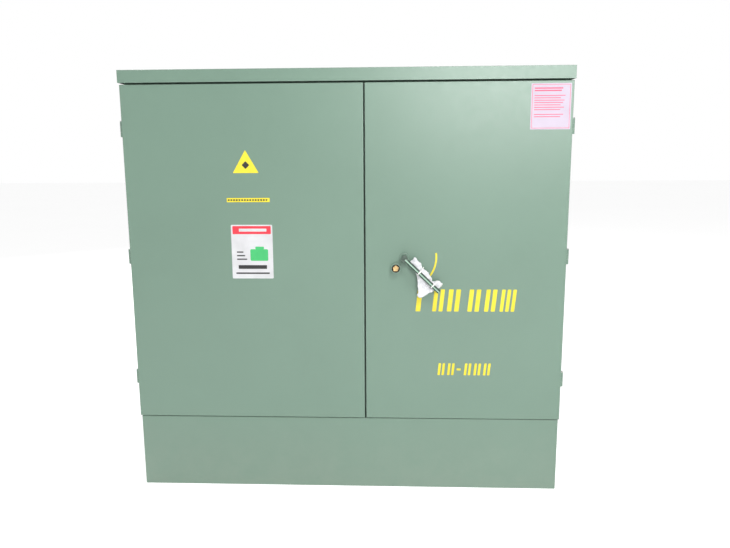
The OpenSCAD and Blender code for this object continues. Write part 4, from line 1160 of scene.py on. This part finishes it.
class TRANSFORMER_OT_dials(Make, Operator):
    """Dial cards with plain ticks, and a glass over each gauge"""
    bl_idname = "transformer.dials"
    bl_label = "Gauge dials"

    def execute(self, context):
        low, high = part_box("gauge_cases")
        radius = (high.z - low.z) / 2
        x, z = low.x + radius, (high.z + low.z) / 2
        places = [Matrix.Identity(4), Matrix.Translation((high.x - low.x - 2 * radius, 0, 0))]
        card_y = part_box("thermometer_needle")[0].y + 4 * MM
        front = card_y - 0.4 * MM
        card = add_round("dial_card", radius - 4.2 * MM, (x, front, z), (x, card_y, z), 64)
        marks = join([*self.ticks(x, z, radius, front, 15, range(0, 19, 3)),
                      *self.ticks(x, z, radius, front, 11, (n for n in range(19) if n % 3))], "dial_ticks")
        glass = add_round("gauge_glass", radius - 4.1 * MM, (x, low.y + 0.4 * MM, z),
                          (x, low.y + 2.4 * MM, z), 64)
        soften(glass, 0.5 * MM)
        for piece, slot, finish in ((card, "label_film", "dial"), (marks, "label_film", "ink"),
                                    (glass, "tinned_metal", "glass")):
            name = piece.name
            for number, twin in enumerate(arrange(piece, places), 1):
                twin.name = f"{name}_{number}"
                dress(twin, "cabinet", MATERIALS[finish])
        return {"FINISHED"}

    def ticks(self, x, z, radius, front, reach, steps):
        """Ticks of one length, modelled once and copied round the dial at 15 degrees a step."""
        tick = add_block("tick", (-0.5 * MM, front - 0.1 * MM, radius - reach * MM),
                         (0.5 * MM, front, radius - 7 * MM))
        return arrange(tick, [turned_at(x, z, math.radians(-135 + step * 15)) for step in steps])


# ---- Stage ----


# Each soft light's place, the point it faces and its width and height, in metres.
SOFTBOXES = {
    "key": ((1.25, -4.5, 2.2), (0.5, -0.6, 1.45), (1.8, 1.0)),
    "top": ((1.3, -3.2, 4.6), (0.2, -0.6, 1.0), (1.4, 1.0)),
    "fill": ((-4.0, -3.5, 2.4), (0.0, -0.6, 0.8), (3.0, 3.0)),
    "rear": ((-3.4, 4.6, 3.6), (0.0, 0.4, 0.8), (3.0, 2.0)),
}


def add_softbox(name, place, aim, size, power):
    """A soft rectangular light that faces a point."""
    deselect()
    bpy.ops.object.light_add(type="AREA", location=place)
    light = bpy.context.object
    light.name = name
    light.data.shape = "RECTANGLE"
    light.data.size, light.data.size_y = size
    light.data.energy = power
    light.rotation_euler = (Vector(aim) - Vector(place)).to_track_quat("-Z", "Y").to_euler()


class TRANSFORMER_OT_stage(Make, Operator):
    """Pale floor, white surround, soft lights and the camera"""
    bl_idname = "transformer.stage"
    bl_label = "Stage"

    def execute(self, context):
        studio = settings().studio
        scene = context.scene
        scene.view_settings.view_transform = "Standard"
        camera = bpy.data.objects.new("Camera", bpy.data.cameras.new("Camera"))
        scene.collection.objects.link(camera)
        camera.data.lens = studio.focal
        camera.data.sensor_width = 36
        camera.location = studio.camera_place
        camera.rotation_euler = studio.camera_turn
        scene.camera = camera
        self.floor()
        scene.world = self.surround(studio.sky)
        for name, (place, aim, size) in SOFTBOXES.items():
            add_softbox(f"{name}_light", place, aim, size, getattr(studio, name))
        return {"FINISHED"}

    def floor(self):
        """A pale floor that looks a little brighter to the camera than to the object."""
        deselect()
        bpy.ops.mesh.primitive_plane_add(size=60, location=(0, 0, 0))
        floor = bpy.context.object
        floor.name = "floor"
        material, tree, shader = new_material("pale_floor")
        mottle = place_group(tree, "mottle", broad=0.6, fine=12.0)
        base = mix(tree, mottle.outputs["Broad"], (0.93, 0.93, 0.93), (0.96, 0.96, 0.96))
        tree.links.new(base, shader.inputs["Base Color"])
        shader.inputs["Roughness"].default_value = 0.75
        shader.inputs["Emission Color"].default_value = (1, 1, 1, 1)
        rays = node(tree, "ShaderNodeLightPath")
        glow = scaled(tree, rays.outputs["Is Camera Ray"], 0.28, 0.3)
        tree.links.new(glow, shader.inputs["Emission Strength"])
        floor.data.materials.append(material)

    def surround(self, strength):
        """A surround that is white to the camera and lights the object softly."""
        world = bpy.data.worlds.new("Surround")
        world.use_nodes = True
        tree = world.node_tree
        given = tree.nodes["Background"]
        given.inputs["Color"].default_value = (1, 1, 1, 1)
        given.inputs["Strength"].default_value = strength
        seen = node(tree, "ShaderNodeBackground", {"Color": (1, 1, 1, 1), "Strength": 1.0})
        rays = node(tree, "ShaderNodeLightPath")
        chosen = node(tree, "ShaderNodeMixShader", {
            0: rays.outputs["Is Camera Ray"], 1: given.outputs[0], 2: seen.outputs[0]})
        tree.links.new(chosen.outputs[0], tree.nodes["World Output"].inputs["Surface"])
        return world


class TRANSFORMER_PT_sidebar(Panel):
    """Lists the settings and the steps that build the object"""
    bl_label = "Pad-Mounted Transformer"
    bl_idname = "TRANSFORMER_PT_sidebar"
    bl_space_type = "VIEW_3D"
    bl_region_type = "UI"
    bl_category = "Transformer"

    def draw(self, context):
        groups = context.scene.transformer
        for title, name in (("Paint", "paint"), ("Lever", "lever"), ("Labels", "labels"),
                            ("Bag", "bag"), ("Studio", "studio")):
            box = self.layout.box()
            box.label(text=title)
            group = getattr(groups, name)
            for key in group.__annotations__:
                box.prop(group, key)
        for step in STEPS:
            self.layout.operator(step.bl_idname)


STEPS = (
    TRANSFORMER_OT_materials, TRANSFORMER_OT_stage, TRANSFORMER_OT_doors, TRANSFORMER_OT_cabinet,
    TRANSFORMER_OT_tank, TRANSFORMER_OT_fins, TRANSFORMER_OT_handle, TRANSFORMER_OT_lock,
    TRANSFORMER_OT_left_labels, TRANSFORMER_OT_paper_label, TRANSFORMER_OT_yellow_marks,
    TRANSFORMER_OT_accessory_bag, TRANSFORMER_OT_cable_ties, TRANSFORMER_OT_terminals, TRANSFORMER_OT_dials)
CLASSES = (PaintSettings, LeverSettings, LabelSettings, BagSettings, StudioSettings,
           TransformerSettings, *STEPS, TRANSFORMER_PT_sidebar)


def register():
    """Registers the settings, the steps and the sidebar."""
    for made in CLASSES:
        bpy.utils.register_class(made)
    bpy.types.Scene.transformer = PointerProperty(type=TransformerSettings)


def unregister():
    """Takes the settings, the steps and the sidebar away again."""
    del bpy.types.Scene.transformer
    for made in reversed(CLASSES):
        bpy.utils.unregister_class(made)


def main():
    """Runs every step in order."""
    register()
    for step in STEPS:
        family, name = step.bl_idname.split(".")
        if getattr(getattr(bpy.ops, family), name)() != {"FINISHED"}:
            raise RuntimeError(f"{step.bl_label} did not finish")


if __name__ == "__main__":
    main()
